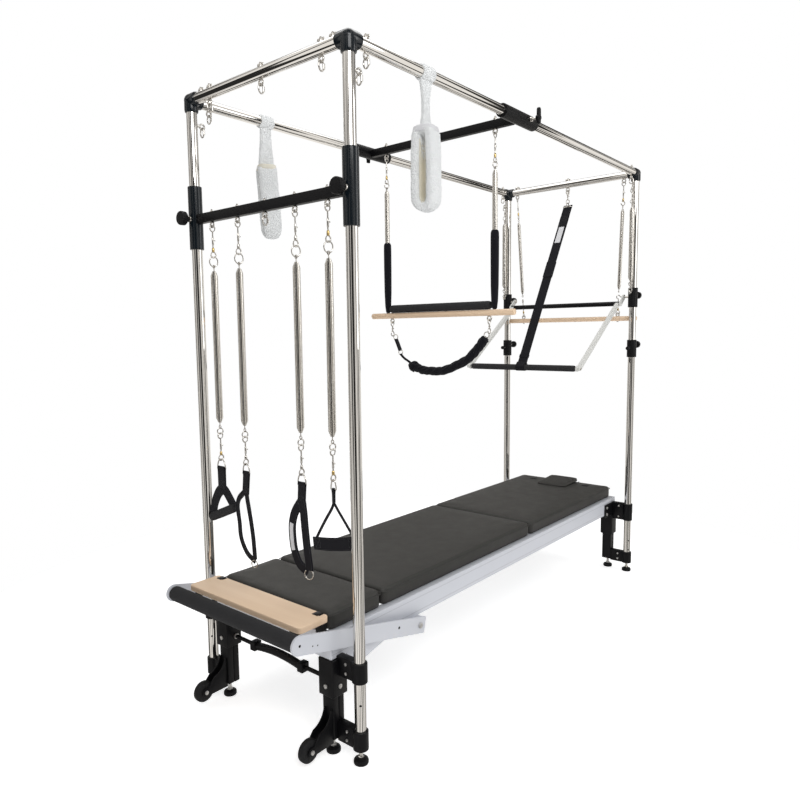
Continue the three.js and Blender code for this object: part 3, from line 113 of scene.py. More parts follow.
# %% Room
SCENE = bpy.context.scene
SCENE.view_settings.view_transform = "Standard"
SURROUND = (1, 1, 1, 1)
MIRROR_DARK, MIRROR_PALE = (0.028, 0.027, 0.026, 1), (1.0, 0.97, 0.925, 1)
BAND_SHAPE, BAND_SCALE, BAND_EDGES = (3.4, 3.4, 0.2), 1.6, (0.455, 0.525)
FILL_LIGHT = 0.44

world = bpy.data.worlds.new("studio")
SCENE.world = world
world.use_nodes = True
sky = world.node_tree
sky.nodes.clear()


def sky_node(kind, **inputs):
    made = sky.nodes.new(kind)
    for key, value in inputs.items():
        slot = made.inputs[key]
        if isinstance(value, bpy.types.NodeSocket):
            sky.links.new(value, slot)
        else:
            slot.default_value = value
    return made


ray = sky_node("ShaderNodeLightPath").outputs
towards = sky_node("ShaderNodeTexCoord").outputs["Generated"]
tall = sky_node("ShaderNodeMapping", Vector=towards, Scale=BAND_SHAPE).outputs[0]
bands = sky_node("ShaderNodeTexNoise", Vector=tall, Scale=BAND_SCALE, Detail=0.5).outputs["Fac"]
edges = {"From Min": BAND_EDGES[0], "From Max": BAND_EDGES[1]}
crisp = sky_node("ShaderNodeMapRange", Value=bands, **edges).outputs[0]
tone = sky_node("ShaderNodeMix")
tone.data_type = "RGBA"
colours = [socket for socket in tone.inputs if socket.type == "RGBA"]
colours[0].default_value, colours[1].default_value = MIRROR_DARK, MIRROR_PALE
sky.links.new(crisp, tone.inputs["Factor"])
banded = next(socket for socket in tone.outputs if socket.type == "RGBA")
fill = sky_node("ShaderNodeBackground", Color=SURROUND, Strength=FILL_LIGHT)
seen = sky_node("ShaderNodeBackground", Color=SURROUND, Strength=1.0)
reflected = sky_node("ShaderNodeBackground", Color=banded, Strength=1.0)
polished_too = sky_node("ShaderNodeMixShader", Fac=ray["Is Glossy Ray"])
sky.links.new(fill.outputs[0], polished_too.inputs[1])
sky.links.new(reflected.outputs[0], polished_too.inputs[2])
camera_too = sky_node("ShaderNodeMixShader", Fac=ray["Is Camera Ray"])
sky.links.new(polished_too.outputs[0], camera_too.inputs[1])
sky.links.new(seen.outputs[0], camera_too.inputs[2])
sky_node("ShaderNodeOutputWorld", Surface=camera_too.outputs[0])


def soft_lamp(name, place, target, size, power):
    data = bpy.data.lights.new(name, "AREA")
    data.shape = "RECTANGLE"
    data.size, data.size_y = size
    data.energy = power
    lamp = bpy.data.objects.new(name, data)
    aim = (Vector(target) - Vector(place)).to_track_quat("-Z", "Y")
    lamp.matrix_world = Matrix.Translation(place) @ aim.to_matrix().to_4x4()
    SCENE.collection.objects.link(lamp)


soft_lamp("key", (-2.6, -3.0, 3.4), (0, 0, 0.9), (2.2, 1.6), 62)
soft_lamp("side", (1.5, -3.6, 2.2), (0, 0, 0.9), (1.2, 2.2), 24)
soft_lamp("top", (0.2, 0.6, 4.4), (0, 0, 0.5), (3.2, 2.0), 40)
print("three lamps, fill", FILL_LIGHT)

# %% [markdown]
# ## A short way to write finishes
# A finish is a Principled shader whose colour, roughness and bump change over the surface. Shader
# maths reads best as plain expressions, so a small class wraps a socket and turns + - * / into Math
# nodes. Every other node comes from one method, which takes the node's settings and its inputs.

# %% Shader helpers
class Amount:
    """A number that changes over the surface; expressions on it add Math nodes."""

    def __init__(self, tree, socket):
        self.tree, self.socket = tree, socket

    def step(self, operation, *values):
        node = self.tree.nodes.new("ShaderNodeMath")
        node.operation = operation
        for slot, value in zip(node.inputs, values):
            if isinstance(value, Amount):
                self.tree.links.new(value.socket, slot)
            else:
                slot.default_value = value
        return Amount(self.tree, node.outputs[0])

    def __add__(self, other):
        return self.step("ADD", self, other)

    def __sub__(self, other):
        return self.step("SUBTRACT", self, other)

    def __rsub__(self, other):
        return self.step("SUBTRACT", other, self)

    def __mul__(self, other):
        return self.step("MULTIPLY", self, other)

    def __truediv__(self, other):
        return self.step("DIVIDE", self, other)

    __radd__, __rmul__ = __add__, __mul__

    def sine(self):
        return self.step("SINE", self)

    def wave(self, pitch):
        """Between 0 and 1, once for each pitch."""
        return (self * (2 * math.pi / pitch)).sine() * 0.5 + 0.5

    def above(self, edge):
        return self.step("GREATER_THAN", self, edge)


class Finish:
    """One material: fixed sockets are set by name, and varying ones are fed."""

    def __init__(self, name, **fixed):
        self.name = name
        self.material = bpy.data.materials.new(name)
        self.material.use_nodes = True
        self.tree = self.material.node_tree
        self.shader = self.tree.nodes["Principled BSDF"]
        for socket, value in fixed.items():
            self.shader.inputs[socket.replace("_", " ")].default_value = value
        self.object_place = self.node("ShaderNodeTexCoord", output="Object")

    def node(self, kind, settings=None, inputs=None, output=0):
        made = self.tree.nodes.new(kind)
        for key, value in (settings or {}).items():
            setattr(made, key, value)
        for key, value in (inputs or {}).items():
            if isinstance(value, Amount):
                self.tree.links.new(value.socket, made.inputs[key])
            else:
                made.inputs[key].default_value = value
        return Amount(self.tree, made.outputs[output])

    def vector(self, operation, *values, **named):
        """Vector maths on the values, in order or by the names of their inputs."""
        inputs = dict(enumerate(values)) | named
        return self.node("ShaderNodeVectorMath", {"operation": operation}, inputs, "Vector")

    def stretched(self, x, y, z):
        inputs = {"Vector": self.object_place, "Scale": (x, y, z)}
        return self.node("ShaderNodeMapping", inputs=inputs, output="Vector")

    def noise(self, scale, detail=3.0, place=None):
        inputs = {"Vector": place or self.object_place, "Scale": scale, "Detail": detail}
        return self.node("ShaderNodeTexNoise", inputs=inputs, output="Fac")

    def cells(self, scale, place=None):
        inputs = {"Vector": place or self.object_place, "Scale": scale}
        return self.node("ShaderNodeTexVoronoi", inputs=inputs, output="Distance")

    def blend(self, amount, first, second):
        """A colour between two, by an amount."""
        mixed = self.node("ShaderNodeMix", {"data_type": "RGBA"}, {"Factor": amount}, "Result")
        made = mixed.socket.node
        colours = [s for s in made.inputs if s.type == "RGBA"]
        for slot, value in zip(colours, (first, second)):
            if isinstance(value, Amount):
                self.tree.links.new(value.socket, slot)
            else:
                slot.default_value = (*value, 1)
        return Amount(self.tree, next(s for s in made.outputs if s.type == "RGBA"))

    def feed(self, **sockets):
        for socket, value in sockets.items():
            self.tree.links.new(value.socket, self.shader.inputs[socket.replace("_", " ")])
        return self

    def bump(self, height, depth, strength=1.0):
        inputs = {"Height": height, "Distance": depth, "Strength": strength}
        return self.feed(Normal=self.node("ShaderNodeBump", inputs=inputs, output="Normal"))


print("finishes are written as expressions")

# %% [markdown]
# ## Metals
# Chromed tube is a mirror with a slightly warm tone, fine polishing marks along its length and faint
# smears that only change its roughness. Bare spring wire is duller and warmer. Hooks and rings are
# small bright castings, and the small swivels are brass. A coil is shaded mostly by its way out from
# the spring's axis, so that it shines as one rod with fine turns.

# %% Metals
def polished(name, colour, rough, smear=0.10, warm=0.05):
    metal = Finish(name, Metallic=1.0)
    cloud = metal.noise(7.0)
    tone = tuple(c * (1 - warm * k) for c, k in zip(colour, (0.6, 1.0, 1.6)))
    metal.feed(Base_Color=metal.blend(cloud, colour, tone))
    metal.feed(Roughness=rough + smear * metal.noise(38.0, 5.0) * cloud)
    return metal


chrome = polished("chrome_tube", (0.79, 0.78, 0.765), 0.03, 0.045)
chrome.bump(chrome.noise(1.0, 2.0, chrome.stretched(420, 420, 3)), 0.0001, 0.10)
hardware = polished("bright_hardware", (0.66, 0.645, 0.62), 0.12, 0.12)
spring_steel = polished("spring_steel", (0.56, 0.53, 0.49), 0.36, 0.08, 0.03)
coil_steel = polished("coil_steel", (0.70, 0.675, 0.635), 0.10, 0.04, 0.03)
COIL_UV, COIL_CALM = "way_out", 0.93
away = coil_steel.node("ShaderNodeUVMap", {"uv_map": COIL_UV}, output="UV")
way_out = coil_steel.vector("MULTIPLY_ADD", away, (2, 2, 0), (-1, -1, 0))
to_world = {"vector_type": "NORMAL", "convert_from": "OBJECT", "convert_to": "WORLD"}
turned_way = coil_steel.node("ShaderNodeVectorTransform", to_world, {"Vector": way_out}, "Vector")
wire_way = coil_steel.node("ShaderNodeNewGeometry", output="Normal")
wire_share = coil_steel.vector("SCALE", wire_way, Scale=1 - COIL_CALM)
calm = coil_steel.vector("MULTIPLY_ADD", turned_way, (COIL_CALM,) * 3, wire_share)
coil_steel.feed(Normal=coil_steel.vector("NORMALIZE", calm))
zinc = polished("zinc_bolt", (0.66, 0.66, 0.66), 0.28, 0.22)
brass = polished("brass_swivel", (0.70, 0.52, 0.22), 0.22, 0.20)
print("six metals")

# %% [markdown]
# ## Painted and moulded parts
# The bed's extrusions carry a pale silver powder coat: nearly even, with an orange-peel bump half a
# millimetre across. The black parts are powder-coated steel or moulded plastic. The plastic has a
# coarser spark grain, rubbed a little shinier in clouds.

# %% Painted and moulded finishes
def coated(name, colour, rough, grain, depth, rub=0.10, metallic=0.0, drift=0.12):
    coat = Finish(name, Metallic=metallic)
    cloud = coat.noise(11.0, 4.0)
    darker = tuple(c * (1 - drift) for c in colour)
    coat.feed(Base_Color=coat.blend(cloud, darker, colour))
    coat.feed(Roughness=rough - rub * 0.5 + rub * coat.noise(31.0, 4.0))
    return coat.bump(coat.noise(grain, 2.0), depth, 0.35)


silver_coat = coated("silver_frame", (0.60, 0.615, 0.66), 0.46, 160, 0.00003, metallic=0.05, drift=0.03)
arm_silver = coated("arm_silver", (0.73, 0.73, 0.70), 0.50, 60, 0.00001, drift=0.04)
black_coat = coated("black_powder", (0.004, 0.004, 0.005), 0.40, 1100, 0.0002)
black_plastic = coated("black_plastic", (0.005, 0.005, 0.006), 0.48, 700, 0.0004, 0.16)
gloss_black = coated("gloss_sleeve", (0.007, 0.011, 0.015), 0.16, 260, 0.00005, 0.06)
gloss_black.shader.inputs["Coat Weight"].default_value = 0.15
gloss_black.shader.inputs["Specular IOR Level"].default_value = 0.35
tyre_rubber = coated("black_tyre", (0.012, 0.012, 0.013), 0.55, 800, 0.0003, 0.14)
# This grey is painted shade for the bed rails' fine grooves.
painted_groove_shade = coated("painted_groove_shade", (0.36, 0.37, 0.40), 0.5, 900, 0.0002)
for coat in (black_coat, black_plastic, tyre_rubber):
    coat.shader.inputs["Specular IOR Level"].default_value = 0.20
print("seven coats")

# %% [markdown]
# ## Foam, vinyl and fleece
# Foam grips are dark and dry, with pores about a millimetre wide. Upholstery vinyl has pebbled grain:
# rounded cells half a millimetre across with fine creases between them, and a soft satin shine.
# Fleece scatters light at its edge, so it has a sheen and a deep, uneven bump.

# %% Foam, vinyl and fleece
foam = Finish("foam_grip", Specular_IOR_Level=0.2)
foam_cloud = foam.noise(24.0, 5.0)
foam.feed(Base_Color=foam.blend(foam_cloud, (0.024, 0.024, 0.025), (0.035, 0.035, 0.037)))
foam.feed(Roughness=0.72 + 0.2 * foam_cloud)
foam.bump(foam.cells(950.0) * 0.7 + foam.noise(2200.0) * 0.3, 0.0005, 0.5)

vinyl = Finish("black_vinyl", Specular_IOR_Level=0.44)
vinyl_cloud = vinyl.noise(5.0, 5.0)
vinyl.feed(Base_Color=vinyl.blend(vinyl_cloud, (0.024, 0.0235, 0.021), (0.032, 0.031, 0.028)))
vinyl.feed(Roughness=0.38 + 0.16 * vinyl.noise(18.0, 6.0) + 0.1 * vinyl.cells(700.0))
vinyl_relief = vinyl.cells(760.0) * 0.6 + vinyl.noise(1700.0, 3.0) * 0.25 + vinyl.noise(16.0, 3.0) * 0.6
vinyl.bump(vinyl_relief, 0.0008, 0.34)

fleece = Finish("white_fleece", Sheen_Weight=0.5, Sheen_Roughness=0.6, Specular_IOR_Level=0.2)
fleece_cloud = fleece.noise(60.0, 6.0)
fleece.feed(Base_Color=fleece.blend(fleece_cloud, (0.84, 0.86, 0.865), (0.93, 0.94, 0.94)))
fleece.feed(Roughness=0.9 + 0.1 * fleece_cloud)
fleece.bump(fleece.noise(420.0, 6.0), 0.002, 0.6)
print("foam, vinyl and fleece")

# %% [markdown]
# ## Webbing and pale wood
# Webbing is woven, and its ribs follow the strap wherever it bends, so its weave reads the strap's own
# UV map in metres: U across the strap and V along it. Beech has long flecks and faint bands along the
# board; the bars and the board run along Y, so the pattern is stretched along Y.

# %% Webbing and wood
RIB = 0.0021
PICK = 0.0016

webbing = Finish("black_webbing", Sheen_Weight=0.08, Specular_IOR_Level=0.15)
strap_place = webbing.node("ShaderNodeUVMap", {"uv_map": "strap"}, output="UV")
across_strap = webbing.node("ShaderNodeSeparateXYZ", inputs={"Vector": strap_place}, output="X")
along_strap = Amount(webbing.tree, across_strap.socket.node.outputs["Y"])
phase = along_strap.wave(2 * PICK).above(0.5) * (RIB * 0.5)
weave = (across_strap + phase).wave(RIB) * 0.6 + along_strap.wave(PICK) * 0.4
webbing.feed(Base_Color=webbing.blend(weave, (0.004, 0.004, 0.006), (0.012, 0.012, 0.016)))
webbing.feed(Roughness=0.78 + 0.16 * webbing.noise(90.0, 4.0))
webbing.bump(weave, 0.0005, 0.6)

neoprene = Finish("padded_sleeve", Sheen_Weight=0.08, Specular_IOR_Level=0.15)
neoprene_cloud = neoprene.noise(30.0, 5.0)
neoprene.feed(Base_Color=neoprene.blend(neoprene_cloud, (0.004, 0.004, 0.007), (0.010, 0.010, 0.014)))
neoprene.feed(Roughness=0.75 + 0.2 * neoprene_cloud)
neoprene.bump(neoprene.noise(1300.0, 2.0) * 0.4 + neoprene.noise(120.0, 4.0) * 0.6, 0.0008, 0.5)


def beech(name, grain_x, grain_y, grain_z):
    wood = Finish(name, Coat_Weight=0.12, Coat_Roughness=0.25)
    bands = wood.noise(1.0, 5.0, wood.stretched(grain_x, grain_y, grain_z))
    flecks = wood.noise(1.0, 2.0, wood.stretched(grain_x * 14, grain_y * 9, grain_z * 14))
    mixed = bands * 0.75 + flecks * 0.25
    wood.feed(Base_Color=wood.blend(mixed, (0.76, 0.53, 0.345), (0.95, 0.735, 0.53)))
    wood.feed(Roughness=0.40 + 0.16 * flecks)
    return wood.bump(flecks, 0.0003, 0.25)


pale_wood = beech("pale_wood", 42.0, 2.2, 42.0)
board_wood = beech("board_wood", 26.0, 1.6, 26.0)
label_white = coated("label_cloth", (0.78, 0.78, 0.80), 0.7, 1500, 0.0003)
cream_tape = coated("cream_tape", (0.88, 0.84, 0.72), 0.75, 1500, 0.0003)
# A near-black finish of painted shade, laid where the insides of holes and slots and the gap round the
# headrest would be dark.
painted_shade = Finish("painted_shade", Roughness=0.9, Base_Color=(0.004, 0.004, 0.004, 1))
painted_shade.feed(Roughness=0.85 + 0.1 * painted_shade.noise(50.0))
thread = coated("sewing_thread", (0.045, 0.045, 0.05), 0.7, 2500, 0.0002)
print("webbing, sleeve and wood")

# %% [markdown]
# ## Shaping tools
# Most pieces of this table are turned, sawn, bent or cut from strap. A blank gathers such closed
# solids into one mesh: turned about an axis, a bar or a strap along a path, a plate from an outline,
# or a block. Each solid's sharp edges are rounded before it joins the others, because a real edge is
# never a perfect corner and catches the light.

# %% Blank: turned, bent, strap, plate and block
UV_NAME = "strap"
SHARP = math.radians(38)


def directions(run):
    along = Vector(run).normalized()
    first = along.orthogonal().normalized()
    return along, first, along.cross(first)


def smooth_path(points, per_span=8, closed=False):
    """A smooth curve through given points."""
    points = [Vector(p) for p in points]
    count = len(points)
    path = []
    for i in range(count if closed else count - 1):
        if closed:
            a, b, c, d = (points[(i + k) % count] for k in (-1, 0, 1, 2))
        else:
            a, b, c, d = (points[min(max(i + k, 0), count - 1)] for k in (-1, 0, 1, 2))
        for step in range(per_span):
            t = step / per_span
            path.append(0.5 * (2 * b + (c - a) * t + (2 * a - 5 * b + 4 * c - d) * t**2
                               + (3 * b - a - 3 * c + d) * t**3))
    return path if closed else path + [points[-1]]


def arc(centre, radius, start, end, steps=8):
    """Points of a flat arc, in degrees."""
    angles = [math.radians(start + (end - start) * i / steps) for i in range(steps + 1)]
    return [(centre[0] + radius * math.cos(a), centre[1] + radius * math.sin(a)) for a in angles]


def mirrored(steps, length):
    """A profile that ends as it begins."""
    return steps + [(length - distance, radius) for distance, radius in reversed(steps)]


class Blank:
    """Closed solids gathered into one mesh."""

    def __init__(self):
        self.bm = bmesh.new()
        self.bm.loops.layers.uv.new(UV_NAME)

    def take(self, bm, bevel=0.0, segments=2):
        bmesh.ops.recalc_face_normals(bm, faces=bm.faces)
        if bevel:
            edges = [e for e in bm.edges if e.is_manifold and e.calc_face_angle(0) > SHARP]
            bmesh.ops.bevel(bm, geom=edges, offset=bevel, segments=segments, profile=0.5,
                            affect="EDGES", clamp_overlap=True)
        mesh = bpy.data.meshes.new("solid")
        bm.to_mesh(mesh)
        bm.free()
        self.bm.from_mesh(mesh)
        bpy.data.meshes.remove(mesh)
        return self

    def turned(self, start, run, profile, sides=32, bevel=0.0, closed=False):
        """A lathe shape from a place along a direction; profile holds (distance, radius) pairs."""
        along, first, second = directions(run)
        bm = bmesh.new()
        turns = [2 * math.pi * k / sides for k in range(sides)]
        spokes = [first * math.cos(a) + second * math.sin(a) for a in turns]
        rings = []
        for distance, radius in profile:
            centre = Vector(start) + along * distance
            rings.append([bm.verts.new(centre + spoke * radius) for spoke in spokes])
        pairs = list(zip(rings, rings[1:])) + ([(rings[-1], rings[0])] if closed else [])
        for low, high in pairs:
            for k in range(sides):
                n = (k + 1) % sides
                bm.faces.new((low[k], low[n], high[n], high[k]))
        if not closed:
            bm.faces.new(rings[0][::-1])
            bm.faces.new(rings[-1])
        return self.take(bm, bevel)

    def rod(self, start, end, radius, sides=32, bevel=0.0):
        run = Vector(end) - Vector(start)
        return self.turned(start, run, [(0, radius), (run.length, radius)], sides, bevel)

    def disc(self, start, run, thick, radius, sides=24, bevel=0.0):
        return self.turned(start, run, [(0, radius), (thick, radius)], sides, bevel)

    def sleeve(self, start, run, length, outer, edge=0.0012, sides=48):
        """A tube that slides on a post or a rail."""
        profile = mirrored([(0, BORE_R), (0, outer - edge), (edge, outer)], length)
        return self.turned(start, run, profile, sides, closed=True)

    def swept(self, points, section, closed=False, face=None, across=None):
        """A section carried along a path, its upper side kept towards face or its width along across."""
        points = [Vector(p) for p in points]
        count = len(points)
        bm = bmesh.new()
        layer = bm.loops.layers.uv.new(UV_NAME)
        rings, measures, travelled = [], [], 0.0
        side = None
        for i, point in enumerate(points):
            before = points[i - 1] if (closed or i) else point
            after = points[(i + 1) % count] if (closed or i < count - 1) else point
            along = (after - before).normalized()
            if across is not None:
                side = (Vector(across) - along * along.dot(Vector(across))).normalized()
            elif face is not None:
                side = along.cross(Vector(face)).normalized()
            elif side is None:
                side = along.orthogonal().normalized()
            else:
                side = (side - along * along.dot(side)).normalized()
            up = along.cross(side)
            travelled += (point - points[i - 1]).length if i else 0.0
            pairs = section(i)
            rings.append([bm.verts.new(point + side * a + up * b) for a, b in pairs])
            measures.append([(a, travelled) for a, b in pairs])
        sides = len(rings[0])
        last = count if closed else count - 1
        for i in range(last):
            j = (i + 1) % count
            for k in range(sides):
                n = (k + 1) % sides
                face = bm.faces.new((rings[i][k], rings[i][n], rings[j][n], rings[j][k]))
                end = travelled + (points[0] - points[-1]).length if j == 0 else measures[j][0][1]
                start = measures[i][0][1]
                spots = ((measures[i][k][0], start), (measures[i][n][0], start),
                         (measures[i][n][0], end), (measures[i][k][0], end))
                for loop, spot in zip(face.loops, spots):
                    loop[layer].uv = spot
        if not closed:
            bm.faces.new(rings[0][::-1])
            bm.faces.new(rings[-1])
        return self.take(bm)

    def bar(self, points, radius, sides=12, closed=False, face=None):
        """A round bar along a path; radius is one number or one for each point."""
        turns = [2 * math.pi * k / sides for k in range(sides)]

        def section(i):
            r = radius if isinstance(radius, (int, float)) else radius[i]
            return [(r * math.cos(a), r * math.sin(a)) for a in turns]

        return self.swept(points, section, closed, face)

    def strap(self, points, width, thick, face=None, across=None):
        """Flat webbing along a path, with rounded edges; it is turned as swept says."""
        half, high, soft = width / 2, thick / 2, thick * 0.35
        pairs = [(half - soft, -high), (half, -high + soft), (half, high - soft), (half - soft, high),
                 (-half + soft, high), (-half, high - soft), (-half, -high + soft), (-half + soft, -high)]
        return self.swept(points, lambda i: pairs, face=face, across=across)

    def plate(self, outline, low, high, thick_along="y", bevel=0.0, segments=2):
        """A flat outline with its thickness along y or z, between low and high."""
        low, high = sorted((low, high))
        place = {"y": lambda a, b, t: (a, t, b), "z": lambda a, b, t: (a, b, t)}[thick_along]
        bm = bmesh.new()
        floor = [bm.verts.new(place(a, b, low)) for a, b in outline]
        roof = [bm.verts.new(place(a, b, high)) for a, b in outline]
        for k in range(len(outline)):
            n = (k + 1) % len(outline)
            bm.faces.new((floor[k], floor[n], roof[n], roof[k]))
        bm.faces.new(floor[::-1])
        bm.faces.new(roof)
        return self.take(bm, bevel, segments)

    def block(self, low, high, bevel=0.0015, segments=2):
        """A box between two opposite corners."""
        (x0, x1), (y0, y1), (z0, z1) = (sorted(pair) for pair in zip(low, high))
        outline = [(x0, y0), (x1, y0), (x1, y1), (x0, y1)]
        return self.plate(outline, z0, z1, "z", bevel, segments)

    def ball(self, centre, radius, stretch=(1, 1, 1)):
        bm = bmesh.new()
        bmesh.ops.create_uvsphere(bm, u_segments=24, v_segments=14, radius=radius)
        bm.transform(Matrix.Translation(centre) @ Matrix.Diagonal((*stretch, 1)))
        return self.take(bm)

    def ring(self, centre, radius, wire, facing, sides=10, steps=32, stretch=1.0):
        """A wire ring whose hole looks along facing; stretch makes it longer upright."""
        along, first, second = directions(facing)
        if abs(along.dot(UP)) < 0.9:
            second = (UP - along * UP.dot(along)).normalized()
            first = second.cross(along)
        turns = [2 * math.pi * k / steps for k in range(steps)]
        path = [Vector(centre) + first * radius * math.cos(a) + second * radius * stretch * math.sin(a)
                for a in turns]
        return self.bar(path, wire, sides, closed=True, face=facing)


print("blanks can be turned, bent, cut and sawn")

# %% [markdown]
# ## Putting a piece on the frame
# Every finished piece is one object at the origin with its place in its mesh. It names its finish, the
# frame's body that carries it and the frame's nodes that it dresses, most often the node of its own name.

# %% Piece
PIECES = []
SAME = "the node of the same name"


def mesh_of(name, blank):
    mesh = bpy.data.meshes.new(name)
    blank.bm.to_mesh(mesh)
    blank.bm.free()
    return mesh


def dress(obj, name, finish, body, nodes=(), round_angle=38):
    """Gives an object its finish, its body and the nodes that it stands for."""
    mesh = obj.data
    mesh.materials.clear()
    mesh.materials.append(finish.material)
    mesh.polygons.foreach_set("use_smooth", [True] * len(mesh.polygons))
    mesh.set_sharp_from_angle(angle=math.radians(round_angle))
    if obj.name not in SCENE.collection.objects:
        SCENE.collection.objects.link(obj)
    if nodes:
        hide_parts(*([name] if nodes is SAME else nodes))
    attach(obj, body)
    PIECES.append(obj)
    return obj


def piece(name, blank, finish, body, nodes=(), round_angle=38):
    return dress(bpy.data.objects.new(name, mesh_of(name, blank)), name, finish, body, nodes, round_angle)


# %% [markdown]
# ## Springs
# Every spring here is close-wound wire with tapered ends. One Geometry Nodes tree winds them all: a
# straight line is cut into many steps, each step is set round the axis by its share of the turns, and
# wire is swept along it. Its inputs are the lengths and counts that a spring maker would give. Each
# corner also stores its way out from the axis, which the coil steel's finish reads.

# %% Coil tree
def new_tree(name, numbers):
    """An empty tree, its inputs by label, and the identifiers of their sockets."""
    tree = bpy.data.node_groups.new(name, "GeometryNodeTree")
    sockets = {}
    for label, kind, start in (*numbers, ("Material", "Material", None)):
        socket = tree.interface.new_socket(label, in_out="INPUT", socket_type=f"NodeSocket{kind}")
        if start is not None:
            socket.default_value = start
        sockets[label] = socket.identifier
    tree.interface.new_socket("Geometry", in_out="OUTPUT", socket_type="NodeSocketGeometry")
    outputs = tree.nodes.new("NodeGroupInput").outputs
    return tree, {label: Amount(tree, outputs[label]) for label in sockets}, sockets


def grow(tree, kind, settings=None, **inputs):
    """One node, with its settings and inputs: a number, an Amount or another node's first output."""
    made = tree.nodes.new(kind)
    for key, value in (settings or {}).items():
        setattr(made, key, value)
    for key, value in inputs.items():
        slot = made.inputs[key.replace("_", " ")]
        if isinstance(value, Amount):
            tree.links.new(value.socket, slot)
        elif isinstance(value, bpy.types.Node):
            tree.links.new(value.outputs[0], slot)
        else:
            slot.default_value = value
    return made


def send_out(tree, given, geometry):
    """Realizes the geometry, sets its material and links it to the tree's output."""
    real = grow(tree, "GeometryNodeRealizeInstances", Geometry=geometry)
    done = grow(tree, "GeometryNodeSetMaterial", Geometry=real, Material=given["Material"])
    tree.links.new(done.outputs[0], tree.nodes.new("NodeGroupOutput").inputs[0])


def grown(name, tree, sockets, values, source=None):
    """The object whose mesh a tree makes from the values."""
    carrier = bpy.data.objects.new(name, source or bpy.data.meshes.new(name))
    SCENE.collection.objects.link(carrier)
    modifier = carrier.modifiers.new("tree", "NODES")
    modifier.node_group = tree
    for label, value in values.items():
        modifier[sockets[label]] = value
    evaluated = carrier.evaluated_get(bpy.context.evaluated_depsgraph_get())
    mesh = bpy.data.meshes.new_from_object(evaluated)
    carrier.modifiers.remove(modifier)
    carrier.data = mesh
    return carrier


def coil_tree():
    tree, given, sockets = new_tree("coil", [
        ("Length", "Float", 0.5), ("Coil Radius", "Float", 0.0125), ("Wire Radius", "Float", 0.0016),
        ("Turns", "Int", 160), ("Taper", "Float", 0.016), ("Steps", "Int", 12)])
    length, radius, wire, turns, taper, steps = (given[label] for label in list(sockets)[:6])
    line = grow(tree, "GeometryNodeCurvePrimitiveLine")
    cut = grow(tree, "GeometryNodeResampleCurve", Curve=line, Count=turns * steps)
    share = Amount(tree, grow(tree, "GeometryNodeSplineParameter").outputs["Factor"])
    turn = share * turns * (2 * math.pi)
    from_end = share.step("MINIMUM", share, 1 - share) * length
    opened = from_end / taper * 0.6 + 0.4
    reach = radius * opened.step("MINIMUM", opened, 1.0)
    place = grow(tree, "ShaderNodeCombineXYZ", X=turn.step("COSINE", turn) * reach,
                 Y=turn.sine() * reach, Z=share * length * -1.0)
    wound = grow(tree, "GeometryNodeSetPosition", Geometry=cut, Position=place)
    round_wire = grow(tree, "GeometryNodeCurvePrimitiveCircle", Resolution=6, Radius=wire)
    body = grow(tree, "GeometryNodeCurveToMesh", Curve=wound, Profile_Curve=round_wire, Fill_Caps=True)
    send_out(tree, given, body)
    return tree, sockets


COIL, COIL_SOCKETS = coil_tree()
WIRE_GAP = 2.06


def mark_way_out(mesh, top, low):
    """Stores, for each corner, which way is straight out from the spring's axis."""
    layer = mesh.uv_layers.get(COIL_UV) or mesh.uv_layers.new(name=COIL_UV)
    along = (low - top).normalized()
    for loop in mesh.loops:
        away = mesh.vertices[loop.vertex_index].co - top
        away = (away - along * away.dot(along)).normalized()
        layer.uv[loop.index].vector = (away.x * 0.5 + 0.5, away.y * 0.5 + 0.5)


def spring(name, top, length, coil_radius, wire_radius, body):
    """A close-wound spring hanging from a place."""
    values = {"Length": length, "Coil Radius": coil_radius - wire_radius, "Wire Radius": wire_radius,
              "Turns": int(length / (wire_radius * WIRE_GAP)), "Taper": 0.016, "Steps": 12,
              "Material": coil_steel.material}
    obj = grown(name, COIL, COIL_SOCKETS, values)
    obj.data.transform(Matrix.Translation(top))
    mark_way_out(obj.data, Vector(top), Vector(top) - UP * length)
    return dress(obj, name, coil_steel, body, SAME, 70)


print("one coil tree with", len(COIL_SOCKETS), "inputs")

# %% [markdown]
# ## Small hardware
# Eyebolts, hooks and rings repeat all over the canopy. Each is drawn from the place where its wire
# bears on the next one, in the same sizes everywhere: an eye of 18 mm in 6 mm wire, and rings of 22 to
# 30 mm in 4 mm wire. A bolt snap is a shank with a hook, a gate and a stud: its barrel is often brass.

# %% Eyes, hooks and rings
EYE_R, EYE_WIRE = 0.009, 0.003
HOOK_WIRE, HOOK_R, SHANK_R = 0.0026, 0.0098, 0.0023
FOOT_PROFILE = [(0, 0.0220), (0.003, 0.0232), (0.010, 0.0232), (0.014, 0.0212), (0.0165, 0.0150),
                (0.018, 0.0105)]


def eye_below(steel, x, y, under, facing="x"):
    """An eye hanging just below a bar's underside; returns the height that its wire bears at."""
    centre = under - EYE_R - EYE_WIRE * 0.4
    steel.ring((x, y, centre), EYE_R, EYE_WIRE, DIRECTION[facing])
    return centre - EYE_R + EYE_WIRE


def nut_above(steel, x, y, top, wing=True):
    """A washer, a nut, and a wing or an acorn end on top of a bar."""
    place = (x, y, top)
    steel.turned(place, UP, [(-0.001, 0.0095), (0.0015, 0.0095)], 24)
    steel.turned(place, UP, [(0.0015, 0.0078), (0.0075, 0.0078)], 6, 0.0006)
    steel.turned(place, UP, [(0.0075, 0.004), (0.013, 0.004), (0.0155, 0.0022)], 14)
    if wing:
        for side in (-1, 1):
            steel.ball((x, y + side * 0.0095, top + 0.0065), 0.006, (0.28, 0.9, 1.0))


